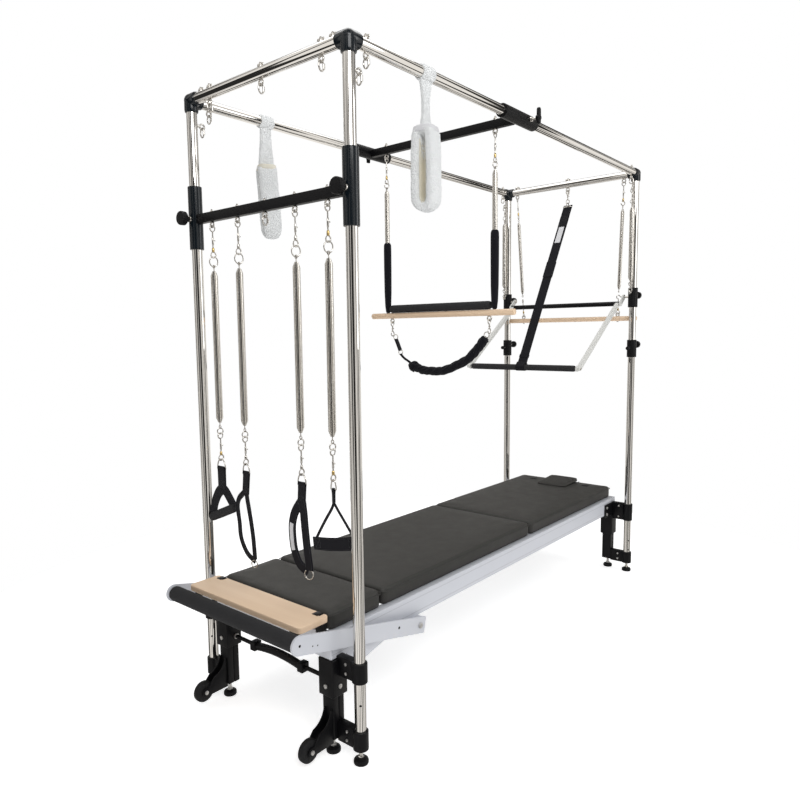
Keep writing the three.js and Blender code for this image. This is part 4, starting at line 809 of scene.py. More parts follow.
def snap_hook(steel, barrel, x, y, top, length, facing="y"):
    """A bolt snap: a straight shank with a hook at both ends, from the wire above to the wire below."""
    side = DIRECTION[facing].cross(UP)
    reach = min(HOOK_R, length * 0.2)
    ends = []
    for way, bears in ((1, top + HOOK_WIRE), (-1, top - length - HOOK_WIRE)):
        centre = Vector((x, y, bears - way * reach))
        bend = [centre + side * a * way + UP * b * way for a, b in arc((0, 0), reach, -90, -358, 22)]
        steel.bar(bend, HOOK_WIRE * 0.88, 10)
        gate = [centre + (side * a + UP * b) * way for a, b in arc((0, 0), reach * 0.97, -72, 4, 8)]
        steel.bar(gate, HOOK_WIRE * 0.62, 8)
        ends.append(centre - UP * way * (reach - HOOK_WIRE * 0.4))
    steel.bar(ends, SHANK_R, 14)
    high, low = ends
    run = (high - low).length
    swivel = [(0, 0.0034), (0.0015, 0.0046), (run * 0.16, 0.0046), (run * 0.22, 0.0030)]
    barrel.turned(low, UP, swivel, 18, 0.0004)
    case = [(0, 0.0028), (0.001, 0.0034), (run * 0.34, 0.0034), (run * 0.36, 0.0028)]
    steel.turned(low + UP * run * 0.34, UP, case, 18)
    thumb = low + UP * run * 0.56
    stud = thumb + side * 0.0072
    steel.bar([thumb, stud], 0.0016, 10)
    steel.ball(stud, 0.0023)


def spare_hook(steel, x, y, top, facing="y", long=0.029):
    """A carabiner left hanging on an eye."""
    axis = DIRECTION[facing]
    centre = Vector((x, y, top + HOOK_WIRE - long / 2))
    steel.ring(centre, HOOK_R, 0.0024, axis, stretch=long / 2 / HOOK_R)
    gate = centre + axis.cross(UP) * HOOK_R
    steel.bar([gate - UP * long * 0.26, gate + UP * long * 0.26], 0.0036)


def eye_stem(blank, x, y, z, way, facing, radius=0.0065, wire=0.0016, long=0.022):
    """The straight end of a spring wire, closed into an eye."""
    tip = z + way * long
    blank.bar([(x, y, z - way * 0.004), (x, y, tip - way * 2 * radius)], wire)
    blank.ring((x, y, tip - way * radius), radius - wire, wire, DIRECTION[facing])


def knurled(blank, start, run, radius, thick, ribs=24, depth=0.0008):
    """A round knob with a ribbed edge and a rounded face."""
    along, first, second = directions(run)
    bm = bmesh.new()
    sides = ribs * 4
    rings = []
    steps = ((0, 0.9, 0), (0.0015, 0.98, 1), (thick - 0.003, 1.0, 1), (thick - 0.0008, 0.93, 0.3),
             (thick, 0.8, 0))
    for distance, scale, rib in steps:
        centre = Vector(start) + along * distance
        ring = []
        for k in range(sides):
            a = 2 * math.pi * k / sides
            r = radius * scale - depth * rib * (0.5 + 0.5 * math.cos(a * ribs))
            ring.append(bm.verts.new(centre + (first * math.cos(a) + second * math.sin(a)) * r))
        rings.append(ring)
    for low, high in zip(rings, rings[1:]):
        for k in range(sides):
            bm.faces.new((low[k], low[(k + 1) % sides], high[(k + 1) % sides], high[k]))
    bm.faces.new(rings[0][::-1])
    bm.faces.new(rings[-1])
    return blank.take(bm)


print("hardware: eyes, nuts, bolt snaps, carabiners, knobs")

# %% [markdown]
# ## Canopy
# Four chromed posts stand in levelling feet. Black moulded elbows with rounded cheeks take the posts
# and the rails. Every rail carries eyebolts with a nut above it, most of them with a wing, and most
# eyes hold a carabiner. Each post has one eye just under its elbow.

# %% Posts and corner elbows
CAP_ARM, CAP_DROP, CAP_R = 0.038, 0.040, 0.0235
POST_EYE_Z, SIDE_EYE = 2.022, 0.040
HOLES = {"near": (0.191,), "far": (0.170, 0.120)}
HOLE_FACE = 0.70 * TUBE_R


def side_eye(steel, x, y, z, out, surface):
    """The short bolt of an eye, standing out of a post towards the middle of the table."""
    steel.rod((x - out * surface, y, z), (x - out * (SIDE_EYE - EYE_R), y, z), 0.004, 16)


for end, (x, out) in ENDS.items():
    for side_name, side in SIDES.items():
        y = side * POST_Y
        label = f"{end}_{side_name}"
        tube, foot, eye, cap, marks = Blank(), Blank(), Blank(), Blank(), Blank()
        tube.rod((x, y, 0.046), (x, y, RAIL_Z - 0.01), TUBE_R, 48)
        tube.rod((x, y, 0.016), (x, y, 0.05), 0.006, 20)
        tube.disc((x, y, 0.0178), UP, 0.007, 0.0100, 6, 0.0006)
        piece(f"post_{label}", tube, chrome, "root", SAME)
        foot.turned((x, y, 0), UP, FOOT_PROFILE, 40)
        piece(f"post_foot_{label}", foot, black_plastic, "root")
        side_eye(eye, x, y, POST_EYE_Z, out, TUBE_R - 0.002)
        eye.disc((x - out * (TUBE_R - 0.0005), y, POST_EYE_Z), (-out, 0, 0), 0.005, 0.0075, 6, 0.0005)
        eye.ring((x - out * SIDE_EYE, y, POST_EYE_Z), EYE_R, EYE_WIRE, (0, 1, 0))
        if end == "near":
            spare_hook(eye, x - out * SIDE_EYE, y, POST_EYE_Z - EYE_R + EYE_WIRE, "x", 0.032)
        piece(f"post_eye_{label}", eye, hardware, "root")
        corner = Vector((x, y, RAIL_Z))
        for run, reach in (((-out, 0, 0), CAP_ARM), ((0, -side, 0), CAP_ARM), (-UP, CAP_DROP)):
            edge = [(reach - 0.008, CAP_R), (reach - 0.0015, CAP_R - 0.0012), (reach, CAP_R - 0.003)]
            cap.turned(corner, run, [(0, CAP_R - 0.0005)] + edge, 40)
        cap.ball(corner, CAP_R)
        piece(f"corner_elbow_{label}", cap, gloss_black, "root", [f"corner_cap_{label}"])
        # The post's holes are dark discs on its face: painted shade standing for their shaded insides.
        for z in HOLES[end]:
            spot = (x - HOLE_FACE, y - HOLE_FACE, z)
            marks.turned(spot, (-1, -1, 0), [(-0.001, 0.0035), (0.0006, 0.0035)], 16)
        piece(f"post_hole_shades_{label}", marks, painted_shade, "root")
print("posts and elbows")

# %% Rails with their eyebolts
END_EYES = {"near": ((-0.315, True), (-0.267, False), (0.0, False), (0.267, False), (0.315, True)),
            "far": ((-0.313, False), (0.0, False), (0.313, False))}
SIDE_EYES = (NEAR_X + 0.0705, NEAR_X + 2.06)
RAIL_UNDER, RAIL_OVER = RAIL_Z - TUBE_R, RAIL_Z + TUBE_R - 0.0005
INSIDE_CAP = 0.02


def rail_and_bolts(label, rail, bolts):
    piece(f"rail_{label}", rail, chrome, "root", [f"canopy_rail_{label}"])
    piece(f"rail_bolts_{label}", bolts, hardware, "root")


for end, (x, out) in ENDS.items():
    rail, bolts = Blank(), Blank()
    rail.rod((x, -POST_Y + INSIDE_CAP, RAIL_Z), (x, POST_Y - INSIDE_CAP, RAIL_Z), TUBE_R, 48)
    for y, nut_only in END_EYES[end]:
        nut_above(bolts, x, y, RAIL_OVER)
        if not nut_only:
            bearing = eye_below(bolts, x, y, RAIL_UNDER, "x")
            if end == "near" or y == 0:
                spare_hook(bolts, x, y, bearing, "y")
    rail_and_bolts(end, rail, bolts)
for side_name, side in SIDES.items():
    y = side * POST_Y
    rail, bolts = Blank(), Blank()
    rail.rod((NEAR_X + INSIDE_CAP, y, RAIL_Z), (FAR_X - INSIDE_CAP, y, RAIL_Z), TUBE_R, 48)
    for x in SIDE_EYES:
        nut_above(bolts, x, y, RAIL_OVER, x < 0)
        spare_hook(bolts, x, y, eye_below(bolts, x, y, RAIL_UNDER, "y"), "x")
    rail_and_bolts(side_name, rail, bolts)
print("four rails")

# %% [markdown]
# ## Spring bar
# A black bar slides on the near posts in glossy sleeves and is held by two knurled knobs. Five eyes
# hang under it; the outer four carry springs and the middle one a spare carabiner.

# %% Spring bar and its knobs
BAR_Z, BAR_HIGH, BAR_DEEP = 1.700, 0.032, 0.025
SLEEVE_LOW, SLEEVE_TOP, SLEEVE_R = 1.597, 1.812, 0.024
KNOB_REACH = 0.035
HANGER_Y = {"hanger_1": 0.280, "hanger_2": 0.140, "hanger_3": -0.140, "hanger_4": -0.280}
OUTWARD = (-1, 0, 0)


def cross_bar(blank, x, half, z):
    """The black square bar between two sleeves."""
    corner = Vector((BAR_DEEP / 2, half, BAR_HIGH / 2))
    middle = Vector((x, 0, z))
    blank.block(middle - corner, middle + corner, 0.003, 3)


bar, sleeves, bosses, bolts = Blank(), Blank(), Blank(), Blank()
cross_bar(bar, NEAR_X, POST_Y - SLEEVE_R * 0.6, BAR_Z)
piece("spring_bar", bar, black_coat, "crossbar", ["spring_crossbar"])
for side in SIDES.values():
    y = side * POST_Y
    sleeves.sleeve((NEAR_X, y, SLEEVE_LOW), UP, SLEEVE_TOP - SLEEVE_LOW, SLEEVE_R, 0.001)
    start = (NEAR_X - SLEEVE_R + 0.002, y, BAR_Z)
    bosses.disc(start, OUTWARD, KNOB_REACH - SLEEVE_R - 0.003, 0.011, 32, 0.0008)
piece("spring_bar_sleeves", sleeves, gloss_black, "crossbar")
piece("spring_bar_bosses", bosses, hardware, "crossbar")
bar_top = BAR_Z + BAR_HIGH / 2
for y in (*HANGER_Y.values(), 0.0):
    EYE_BEARS = eye_below(bolts, NEAR_X, y, BAR_Z - BAR_HIGH / 2, "x")
    bolts.turned((NEAR_X, y, bar_top), UP, [(-0.001, 0.006), (0.004, 0.006)], 6, 0.0005)
    bolts.rod((NEAR_X, y, bar_top), (NEAR_X, y, bar_top + 0.009), 0.003, 14)
spare_hook(bolts, NEAR_X, 0.0, EYE_BEARS, "y")
piece("spring_bar_eyes", bolts, hardware, "crossbar")
for side_name, side in SIDES.items():
    knob = Blank()
    start = Vector((NEAR_X - KNOB_REACH + 0.0002, side * POST_Y, BAR_Z))
    knob.turned(start + Vector((0.0168, 0, 0)), OUTWARD, [(0, 0.004), (0.0168, 0.008), (0.0205, 0.009)], 24)
    knurled(knob, start - Vector((0.009, 0, 0)), OUTWARD, 0.0238, 0.021)
    label = f"crossbar_knob_{side_name}"
    piece(f"spring_bar_knob_{side_name}", knob, black_plastic, label, [label])
print("spring bar")

# %% [markdown]
# ## Hanging springs
# Under each outer eye hangs a chain: a bolt snap with its swivel, a 30 mm ring, a half-metre spring, a
# 22 mm ring, a second snap and the D-ring of a handle. The two outer chains have brass swivels.

# %% Four spring chains
LONG_TOP, LONG_LOW, LONG_R, LONG_STEM = 1.517, 0.994, 0.0125, 0.022
TOP_RING_R, LOW_RING_R, RING_WIRE = 0.015, 0.011, 0.002
HANDLE_RING_R, HANDLE_HOOK = 0.0165, 0.0905
top_ring = LONG_TOP + LONG_STEM + TOP_RING_R - RING_WIRE
low_ring = LONG_LOW - LONG_STEM - LOW_RING_R + RING_WIRE
top_length = EYE_BEARS - (top_ring + TOP_RING_R - RING_WIRE)
low_bearing = low_ring - LOW_RING_R + RING_WIRE
HANDLE_RING_Z = low_bearing - HANDLE_HOOK - HANDLE_RING_R
low_length = low_bearing - (HANDLE_RING_Z + HANDLE_RING_R - 0.002)

for number, (body, y) in enumerate(HANGER_Y.items(), 1):
    steel, barrels, ends = Blank(), Blank(), Blank()
    snap_hook(steel, barrels, NEAR_X, y, EYE_BEARS, top_length, "y")
    steel.ring((NEAR_X, y, top_ring - 0.003), TOP_RING_R - 0.001, RING_WIRE, (0.4, 1, 0), stretch=1.2)
    steel.ring((NEAR_X, y, low_ring), LOW_RING_R - RING_WIRE / 2, RING_WIRE, (0.3, 1, 0))
    snap_hook(steel, barrels, NEAR_X, y, low_bearing, low_length, "y")
    spring(f"long_spring_{number}", (NEAR_X, y, LONG_TOP), LONG_TOP - LONG_LOW, LONG_R, 0.0016, body)
    eye_stem(ends, NEAR_X, y, LONG_TOP, 1, "x", long=LONG_STEM)
    eye_stem(ends, NEAR_X, y, LONG_LOW, -1, "x", long=LONG_STEM)
    piece(f"spring_ends_{number}", ends, spring_steel, body)
    piece(f"chain_hooks_{number}", steel, hardware, body)
    piece(f"chain_swivels_{number}", barrels, brass if abs(y) > 0.2 else hardware, body)
print("four chains")

# %% [markdown]
# ## Stitching
# Straps are sewn back on themselves in boxes and rows of thread. A second tree lays short stitches
# along any line: it resamples the line by the stitch length and stands one small thread on each point.

# %% Stitch tree
STITCH_PITCH, THREAD_R = 0.0036, 0.0005


def stitch_tree():
    tree, given, sockets = new_tree("stitches", [
        ("Source", "Geometry", None), ("Stitch", "Float", 0.0035), ("Thread", "Float", 0.0005)])
    line = grow(tree, "GeometryNodeMeshToCurve", Mesh=given["Source"])
    points = grow(tree, "GeometryNodeCurveToPoints", {"mode": "LENGTH"}, Curve=line, Length=given["Stitch"])
    depth = given["Stitch"] * 0.72
    one = grow(tree, "GeometryNodeMeshCylinder", Vertices=6, Radius=given["Thread"], Depth=depth)
    placed = grow(tree, "GeometryNodeInstanceOnPoints", Points=points, Instance=one)
    tangent = Amount(tree, points.outputs["Tangent"])
    turned = grow(tree, "FunctionNodeAlignEulerToVector", {"axis": "Z"}, Vector=tangent)
    tree.links.new(turned.outputs[0], placed.inputs["Rotation"])
    send_out(tree, given, placed)
    return tree, sockets


STITCH, STITCH_SOCKETS = stitch_tree()


def stitched(name, lines, body):
    """Rows of stitches along open or closed lines of points."""
    source = bpy.data.meshes.new(name)
    places, edges = [], []
    for line in lines:
        first = len(places)
        places += [tuple(p) for p in line]
        edges += [(first + i, first + i + 1) for i in range(len(line) - 1)]
    source.from_pydata(places, edges, [])
    values = {"Stitch": STITCH_PITCH, "Thread": THREAD_R, "Material": thread.material}
    return dress(grown(name, STITCH, STITCH_SOCKETS, values, source), name, thread, body)


def sewn_box(centre, along, across, long, wide, lift):
    """A stitched rectangle with its diagonals, just above a strap's face."""
    c, a, b, n = (Vector(v) for v in (centre, along, across, lift))
    turns = ((-1, -1), (1, -1), (1, 1), (-1, 1), (-1, -1))
    corners = [c + n + a * i * long / 2 + b * j * wide / 2 for i, j in turns]
    return [corners, [corners[0], corners[2]], [corners[1], corners[3]]]


print("stitches run along lines")

# %% [markdown]
# ## Strap handles
# Each chain ends in a different handle of 10 to 41 mm webbing. From left to right: a hand loop with a
# padded grip, a long double loop, a padded foot loop and a wide thigh band on thin straps. They are
# drawn flat across the table, as they hang. Every route is given in shares of the handle's spread and
# drop below its ring.

# %% Handle routes
WEB_THICK = 0.0035
DEE_WIRE = 0.0021
AHEAD = Vector((1, 0, 0))


def hang_route(y, spread, drop, shares, nudge=0.0):
    top = HANDLE_RING_Z - HANDLE_RING_R + 0.002
    return [Vector((NEAR_X + nudge, y + a * spread, top + (b + 0.02) * drop)) for a, b in shares]


def handle_top(label, body, y, width, neck):
    """The D-ring and the sewn tab that turns round it."""
    ring, tab = Blank(), Blank()
    half = max(width / 2, 0.009) + 0.002
    r = HANDLE_RING_R
    bar_z = HANDLE_RING_Z - r * 0.8
    bow = [math.radians(-90 + 15 * k) for k in range(13)]
    dee = [(NEAR_X, y + half * math.sin(a), bar_z + r * 1.8 * math.cos(a)) for a in bow]
    ring.bar(dee, DEE_WIRE, 10, closed=True, face=AHEAD)
    piece(f"{label}_ring", ring, hardware, body)
    low = neck[-1]
    for way in (-1, 1):
        lift = way * (WEB_THICK / 2 + DEE_WIRE)
        line = [Vector((NEAR_X, y, bar_z + 0.003)), Vector((NEAR_X + lift, y, bar_z - 0.002)),
                Vector((NEAR_X + lift * 0.6, y, bar_z - 0.014)), low + AHEAD * way * WEB_THICK * 0.55]
        tab.strap(smooth_path(line, 6), width, WEB_THICK * 0.9, AHEAD)
    piece(f"{label}_tab", tab, webbing, body)
    along = (low - Vector((NEAR_X, y, bar_z))).normalized()
    face = AHEAD * -WEB_THICK * 1.02
    boxes = sewn_box(low - along * 0.018, along, along.cross(AHEAD), 0.024, width - 0.008, face)
    stitched(f"{label}_tab_stitches", boxes, body)


LOOPS = {
    "grip_handle_left": ("hanger_1", 0.064, 0.202, 0.041, 0.040, [(0, 0), (0, -0.4)], [
        [(0, -0.33), (0.08, -0.40), (0.42, -0.50), (0.76, -0.68), (0.93, -0.86), (1.0, -0.95)],
        [(0, -0.33), (-0.08, -0.38), (-0.36, -0.44), (-0.66, -0.54), (-0.88, -0.62), (-1.0, -0.68)]]),
    "long_loop_left": ("hanger_2", 0.056, 0.312, 0.031, 0.021, [(0, 0), (0.13, -0.26)], [
        [(0.1, -0.22), (0.45, -0.27), (0.84, -0.335), (1, -0.43), (0.86, -0.6), (0.74, -0.78), (0.2, -0.93),
         (-0.58, -1)],
        [(0.05, -0.2), (0, -0.3), (-0.12, -0.40), (-0.32, -0.57), (-0.48, -0.75), (-0.58, -0.97)]]),
    "foot_loop_right": ("hanger_3", 0.052, 0.290, 0.033, 0.032, [(0, 0), (0.1, -0.27)], [
        [(0.12, -0.22), (0.4, -0.28), (0.78, -0.38), (1, -0.54), (0.88, -0.77), (0.42, -0.93), (-0.3, -0.99)],
        [(0, -0.22), (-0.10, -0.34), (-0.18, -0.5), (-0.32, -0.72), (-0.45, -0.88), (-0.5, -0.97)]]),
    "wide_loop_right": ("hanger_4", 0.090, 0.190, 0.010, 0.010, [(0, 0.03), (0, -0.26)], [
        [(0, -0.22), (0.12, -0.34), (0.42, -0.54), (0.70, -0.74), (0.98, -0.95)],
        [(0, -0.22), (-0.18, -0.33), (-0.46, -0.48), (-0.72, -0.62), (-0.96, -0.76)]]),
}
ROUTES = {}
for label, (body, spread, drop, neck_wide, wide, neck, branches) in LOOPS.items():
    y = HANGER_Y[body]
    handle_top(label, body, y, neck_wide, hang_route(y, spread, drop, neck))
    padded_loop = label == "foot_loop_right"
    thick = WEB_THICK * (2.2 if padded_loop else 1.0)
    ROUTES[label] = [smooth_path(hang_route(y, spread, drop, b, 0.0006 * (-1) ** k), 10)
                     for k, b in enumerate(branches)]
    web, rows = Blank(), []
    for path in ROUTES[label]:
        if wide == neck_wide:
            path[:] = path[4:]
        web.strap(path, wide, thick, AHEAD)
        for edge in (-1, 1):
            inset = edge * (wide / 2 - 0.0025)
            out = AHEAD * (thick / 2 + 0.0002)
            rows.append([here + (after - before).normalized().cross(AHEAD) * inset - out
                         for before, here, after in zip(path, path[1:], path[2:])])
    made = piece(label, web, neoprene if padded_loop else webbing, body, SAME)
    stitched(f"{label}_edges", rows, body)
print("webbing of four handles")

# %% Padded grip, end rings, thigh band and blank label
def padded_roll(start, end, radius, taper=0.5, sides=40, round_end=0.35, waves=0.0):
    """A soft cylinder with rounded ends; waves gives it slight unevenness along its length."""
    start, run = Vector(start), Vector(end) - Vector(start)
    length = run.length
    shift = np.random.default_rng(1).uniform(0, 6.28, 3)
    ends = (0, 0.004, 0.010, 0.018)
    middle = np.linspace(0.026, length - 0.026, max(4, int(length / 0.02)))
    stations = [*ends, *middle, *(length - d for d in ends[::-1])]
    profile = []
    for d in stations:
        edge = min(d, length - d)
        swell = 1 - (1 - taper) * max(0.0, 1 - edge / (radius * round_end * 2)) ** 2
        ripple = 1 + waves * sum(math.sin(d * f + s) for f, s in zip((61, 97, 173), shift)) / 3
        profile.append((d, radius * swell * ripple))
    return Blank().turned(start, run, profile, sides)


def handle_places(label, shares):
    body, spread, drop = LOOPS[label][:3]
    return body, hang_route(HANGER_Y[body], spread, drop, shares)


body, (high, low) = handle_places("grip_handle_left", [(-1.08, -0.68), (1.08, -0.96)])
piece("hand_grip", padded_roll(high, low, 0.016, 0.72, waves=0.01), foam, body)

END_RINGS = {"long_loop_left": ((-0.5, -1.03), 0.0125), "foot_loop_right": ((-0.42, -1.02), 0.0165)}
for label, (share, ring_r) in END_RINGS.items():
    body, (place,) = handle_places(label, [share])
    piece(f"{label}_end_ring", Blank().ring(place, ring_r, 0.0019, (1, 0.2, 0)), hardware, body)

body, ends = handle_places("wide_loop_right", [(1.02, -0.98), (-1.0, -0.80)])
line = [ends[0].lerp(ends[1], t) - UP * 0.004 * math.sin(math.pi * t) for t in np.linspace(0, 1, 14)]
piece("thigh_band", Blank().strap(line, 0.041, 0.006, AHEAD), neoprene, body)
along = (ends[1] - ends[0]).normalized()
across = along.cross(AHEAD)
face = AHEAD * -0.0034
rows = [[p + across * edge * 0.0165 + face for p in line] for edge in (-1, 1)]
for share in (0.12, 0.9):
    rows += sewn_box(ends[0].lerp(ends[1], share), along, across, 0.02, 0.026, face)
stitched("thigh_band_stitches", rows, body)

label_line = [p - AHEAD * 0.0044 for p in ROUTES["foot_loop_right"][0] if 0.605 < p.z < 0.70]
piece("foot_loop_blank_label", Blank().strap(label_line, 0.017, 0.0006, AHEAD), label_white, "hanger_3")
print("grip, band and label")

# %% [markdown]
# ## Slider and trapeze
# A cross bar slides on the side rails in two dark sleeves. A T-lever on each outer side locks it. From
# its eyes hang two springs, a padded sleeve over each lower strap, a foam seat roll on a wooden bar
# and, under the bar, a ruffled sling.

# %% Slider
SLIDER_X = NEAR_X + 0.915
SLIDER_SPAN = (NEAR_X + 0.800, NEAR_X + 1.035)
SLIDER_R, SLIDER_BAR_Z = 0.025, 2.095
SLIDER_EYE_Y = 0.277
LEVER_X = NEAR_X + 0.970
LEVER_WING = [(-0.008, -0.022), (0.008, -0.022), (0.0095, 0.0), (0.0085, 0.030),
              (0.005, 0.0375), (-0.005, 0.0375), (-0.0085, 0.030), (-0.0095, 0.0)]
LEVER_HEAD = [(0, 0.010), (0.003, 0.0115), (0.013, 0.0115), (0.0165, 0.008)]

sleeves, steel, levers, slot_shades = Blank(), Blank(), Blank(), Blank()
for side in SIDES.values():
    y = side * POST_Y
    out = Vector((0, side, 0))
    sleeves.sleeve((SLIDER_SPAN[0], y, RAIL_Z), AHEAD, SLIDER_SPAN[1] - SLIDER_SPAN[0], SLIDER_R)
    start = Vector((LEVER_X, y, RAIL_Z)) + out * (SLIDER_R - 0.001)
    steel.turned(start, out, [(0, 0.009), (0.008, 0.009), (0.0085, 0.0045), (0.027, 0.0045)], 28, 0.0006)
    head = start + out * 0.027
    levers.turned(head - out * 0.001, out, LEVER_HEAD, 28)
    wing = [(LEVER_X + a, RAIL_Z + b) for a, b in LEVER_WING]
    levers.plate(wing, head.y + side * 0.002, head.y + side * 0.014, "y", 0.0035, 3)
    # Each sleeve's slot is a dark plate on its face: painted shade for the slot's depth.
    slot = arc((SLIDER_X - 0.028, RAIL_Z), 0.0062, 90, 270) + arc((SLIDER_X - 0.002, RAIL_Z), 0.0062, -90, 90)
    slot_shades.plate(slot, y + side * (SLIDER_R - 0.003), y + side * (SLIDER_R + 0.0002), "y")
cross_bar(sleeves, SLIDER_X, POST_Y - SLIDER_R * 0.7, SLIDER_BAR_Z)
piece("slider_bar", sleeves, black_coat, "slider", ["canopy_slider"])
for y in (side * SLIDER_EYE_Y for side in SIDES.values()):
    SLIDER_BEARS = eye_below(steel, SLIDER_X, y, SLIDER_BAR_Z - BAR_HIGH / 2, "x")
    nut_above(steel, SLIDER_X, y, SLIDER_BAR_Z + BAR_HIGH / 2, False)
piece("slider_hardware", steel, hardware, "slider")
piece("slider_levers", levers, black_plastic, "slider")
piece("slider_slot_shades", slot_shades, painted_shade, "slider")
print("slider")

# %% Trapeze springs, sleeves and bars
TRAPEZE_TOP, TRAPEZE_LOW = 1.925, 1.676
TRAPEZE_Z, TRAPEZE_HALF, TRAPEZE_EYE_Y = 1.376, 0.370, 0.253
DOWEL_R = 0.0125


def dowel(x, z, half):
    """A wooden bar across the table, softened at its ends."""
    profile = mirrored([(0, 0.0085), (0.0016, 0.0112), (0.004, DOWEL_R)], 2 * half)
    return Blank().turned((x, -half, z), (0, 1, 0), profile, 40)


for side_name, side in SIDES.items():
    y = side * SLIDER_EYE_Y
    steel, barrels, ends, sleeve = Blank(), Blank(), Blank(), Blank()
    ring_z = TRAPEZE_TOP + 0.020
    snap_hook(steel, barrels, SLIDER_X, y, SLIDER_BEARS, SLIDER_BEARS - ring_z - 0.010, "y")
    steel.ring((SLIDER_X, y, ring_z), 0.011, 0.002, (0.4, 1, 0))
    hung_at = (SLIDER_X, y, TRAPEZE_TOP)
    spring(f"trapeze_spring_{side_name}", hung_at, TRAPEZE_TOP - TRAPEZE_LOW, 0.011, 0.0018, "trapeze")
    eye_stem(ends, SLIDER_X, y, TRAPEZE_TOP, 1, "x", 0.006, 0.0018, 0.014)
    low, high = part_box(f"trapeze_sleeve_{side_name}")
    span = high[2] - low[2] + 0.009
    profile = [(0, 0.006), (0.004, 0.010), (span * 0.1, 0.0135), (span * 0.3, 0.0158), (span * 0.62, 0.0166),
               (span * 0.9, 0.0168), (span - 0.012, 0.0162), (span - 0.004, 0.0135), (span, 0.007)]
    sleeve.turned((SLIDER_X, y, low[2]), UP, profile, 40)
    piece(f"trapeze_hooks_{side_name}", steel, hardware, "trapeze")
    piece(f"trapeze_swivels_{side_name}", barrels, brass, "trapeze")
    piece(f"trapeze_spring_ends_{side_name}", ends, spring_steel, "trapeze")
    cover = piece(f"trapeze_sleeve_{side_name}", sleeve, neoprene, "trapeze", SAME)

low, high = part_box("trapeze_seat_roll")
roll_z, roll_r = (low[2] + high[2]) / 2, (high[2] - low[2]) / 2
roll = padded_roll((SLIDER_X, low[1], roll_z), (SLIDER_X, high[1], roll_z), roll_r, 0.8, waves=0.006)
piece("trapeze_seat_roll", roll, foam, "trapeze", SAME)
piece("trapeze_dowel", dowel(SLIDER_X, TRAPEZE_Z, TRAPEZE_HALF), pale_wood, "trapeze", ["trapeze_bar"])
eyes = Blank()
for side in SIDES.values():
    SLING_BEARS = eye_below(eyes, SLIDER_X, side * TRAPEZE_EYE_Y, TRAPEZE_Z - DOWEL_R, "x")
    for y in (side * TRAPEZE_EYE_Y, side * SLIDER_EYE_Y):
        eyes.disc((SLIDER_X, y, TRAPEZE_Z + 0.012), UP, 0.004, 0.0055, 6, 0.0005)
piece("trapeze_dowel_eyes", eyes, hardware, "trapeze")
print("trapeze")

# %% [markdown]
# ### Sling
# A tube of ruffled black fabric hangs from two hooks by straps, rings and a cord. Its gathers come
# from a sum of waves round and along the tube, so that no two folds are alike.

# %% Sling
SLING_HALF, SLING_DIP, SLING_R = 0.253, 0.212, 0.0178
SLING_ROUTE = ((0.56, 0.90), (0.38, 0.97), (0.2, 1.0), (0.0, 1.0), (-0.2, 0.955), (-0.4, 0.86),
               (-0.6, 0.74), (-0.76, 0.57), (-0.88, 0.41), (-0.935, 0.33))


def sling_place(across, down):
    return Vector((SLIDER_X, across * SLING_HALF, SLING_BEARS - down * SLING_DIP))


steel, barrels, straps, ruffle = Blank(), Blank(), Blank(), Blank()
snap_hook(steel, barrels, SLIDER_X, SLING_HALF, SLING_BEARS, 0.058, "y")
snap_hook(steel, barrels, SLIDER_X, -SLING_HALF, SLING_BEARS, 0.052, "y")
left_ring, right_ring, second = sling_place(0.93, 0.31), sling_place(-0.95, 0.28), sling_place(0.82, 0.63)
steel.ring(left_ring, 0.0115, 0.002, AHEAD)
steel.ring(right_ring, 0.0115, 0.002, AHEAD)
steel.ring(second, 0.010, 0.0018, (1, 0.2, 0))
strap_top, strap_low = left_ring + Vector((0, -0.002, -0.009)), second + Vector((0, 0.002, 0.008))
strap_line = [strap_top, left_ring.lerp(second, 0.5), strap_low]
straps.strap(smooth_path(strap_line, 6), 0.024, 0.007, (0, 1, 0.4))
cord_line = [second - UP * 0.008, sling_place(0.74, 0.75), sling_place(0.62, 0.83), sling_place(0.52, 0.92)]
straps.bar(smooth_path(cord_line, 6), 0.0052, 12)
for turn in ((0.2, 1, 0.5), (0.3, 0.6, -1)):
    straps.ring(sling_place(0.535, 0.905), 0.0150, 0.0088, turn, 12)
piece("sling_straps", straps, webbing, "trapeze")

route = smooth_path([sling_place(*share) for share in SLING_ROUTE], 26)
rng = np.random.default_rng(7)
folds = [(int(k), rng.uniform(40, 170), rng.uniform(0, 6.28), rng.uniform(0.4, 1.0))
         for k in rng.integers(1, 7, 16)]
turns = [2 * math.pi * k / 48 for k in range(48)]


def gathered(i):
    """The tube's section at one point of its route."""
    share = i / (len(route) - 1)
    edge = min(1.0, share / 0.06 + 0.55, (1 - share) / 0.10 + 0.55)
    along = share * 0.62
    pairs = []
    for a in turns:
        fold = sum(w * math.sin(n * a + along * f + p) for n, f, p, w in folds) / len(folds)
        r = SLING_R * edge * (1 + 0.42 * fold) * (1.35 if share < 0.05 else 1.0)
        pairs.append((r * math.cos(a), r * math.sin(a)))
    return pairs


ruffle.swept(route, gathered, face=AHEAD)
sling = piece("sling_tube", ruffle, neoprene, "trapeze", ["trapeze_sling"], 60)
piece("sling_hardware", steel, hardware, "trapeze")
piece("sling_swivels", barrels, hardware, "trapeze")
print("sling")

# %% [markdown]
# ## Fleece loops
# Two white sheepskin loops wrap round the side rails and hang by a short neck. Each body is a padded
# band, closed into a long narrow loop and lined in cream. A third tree grows the pile: it scatters
# points over the skin with a fixed seed and stands a small soft tuft on each of them.

# %% Pile tree
PILE_DENSITY, TUFT_R = 88000.0, 0.0023


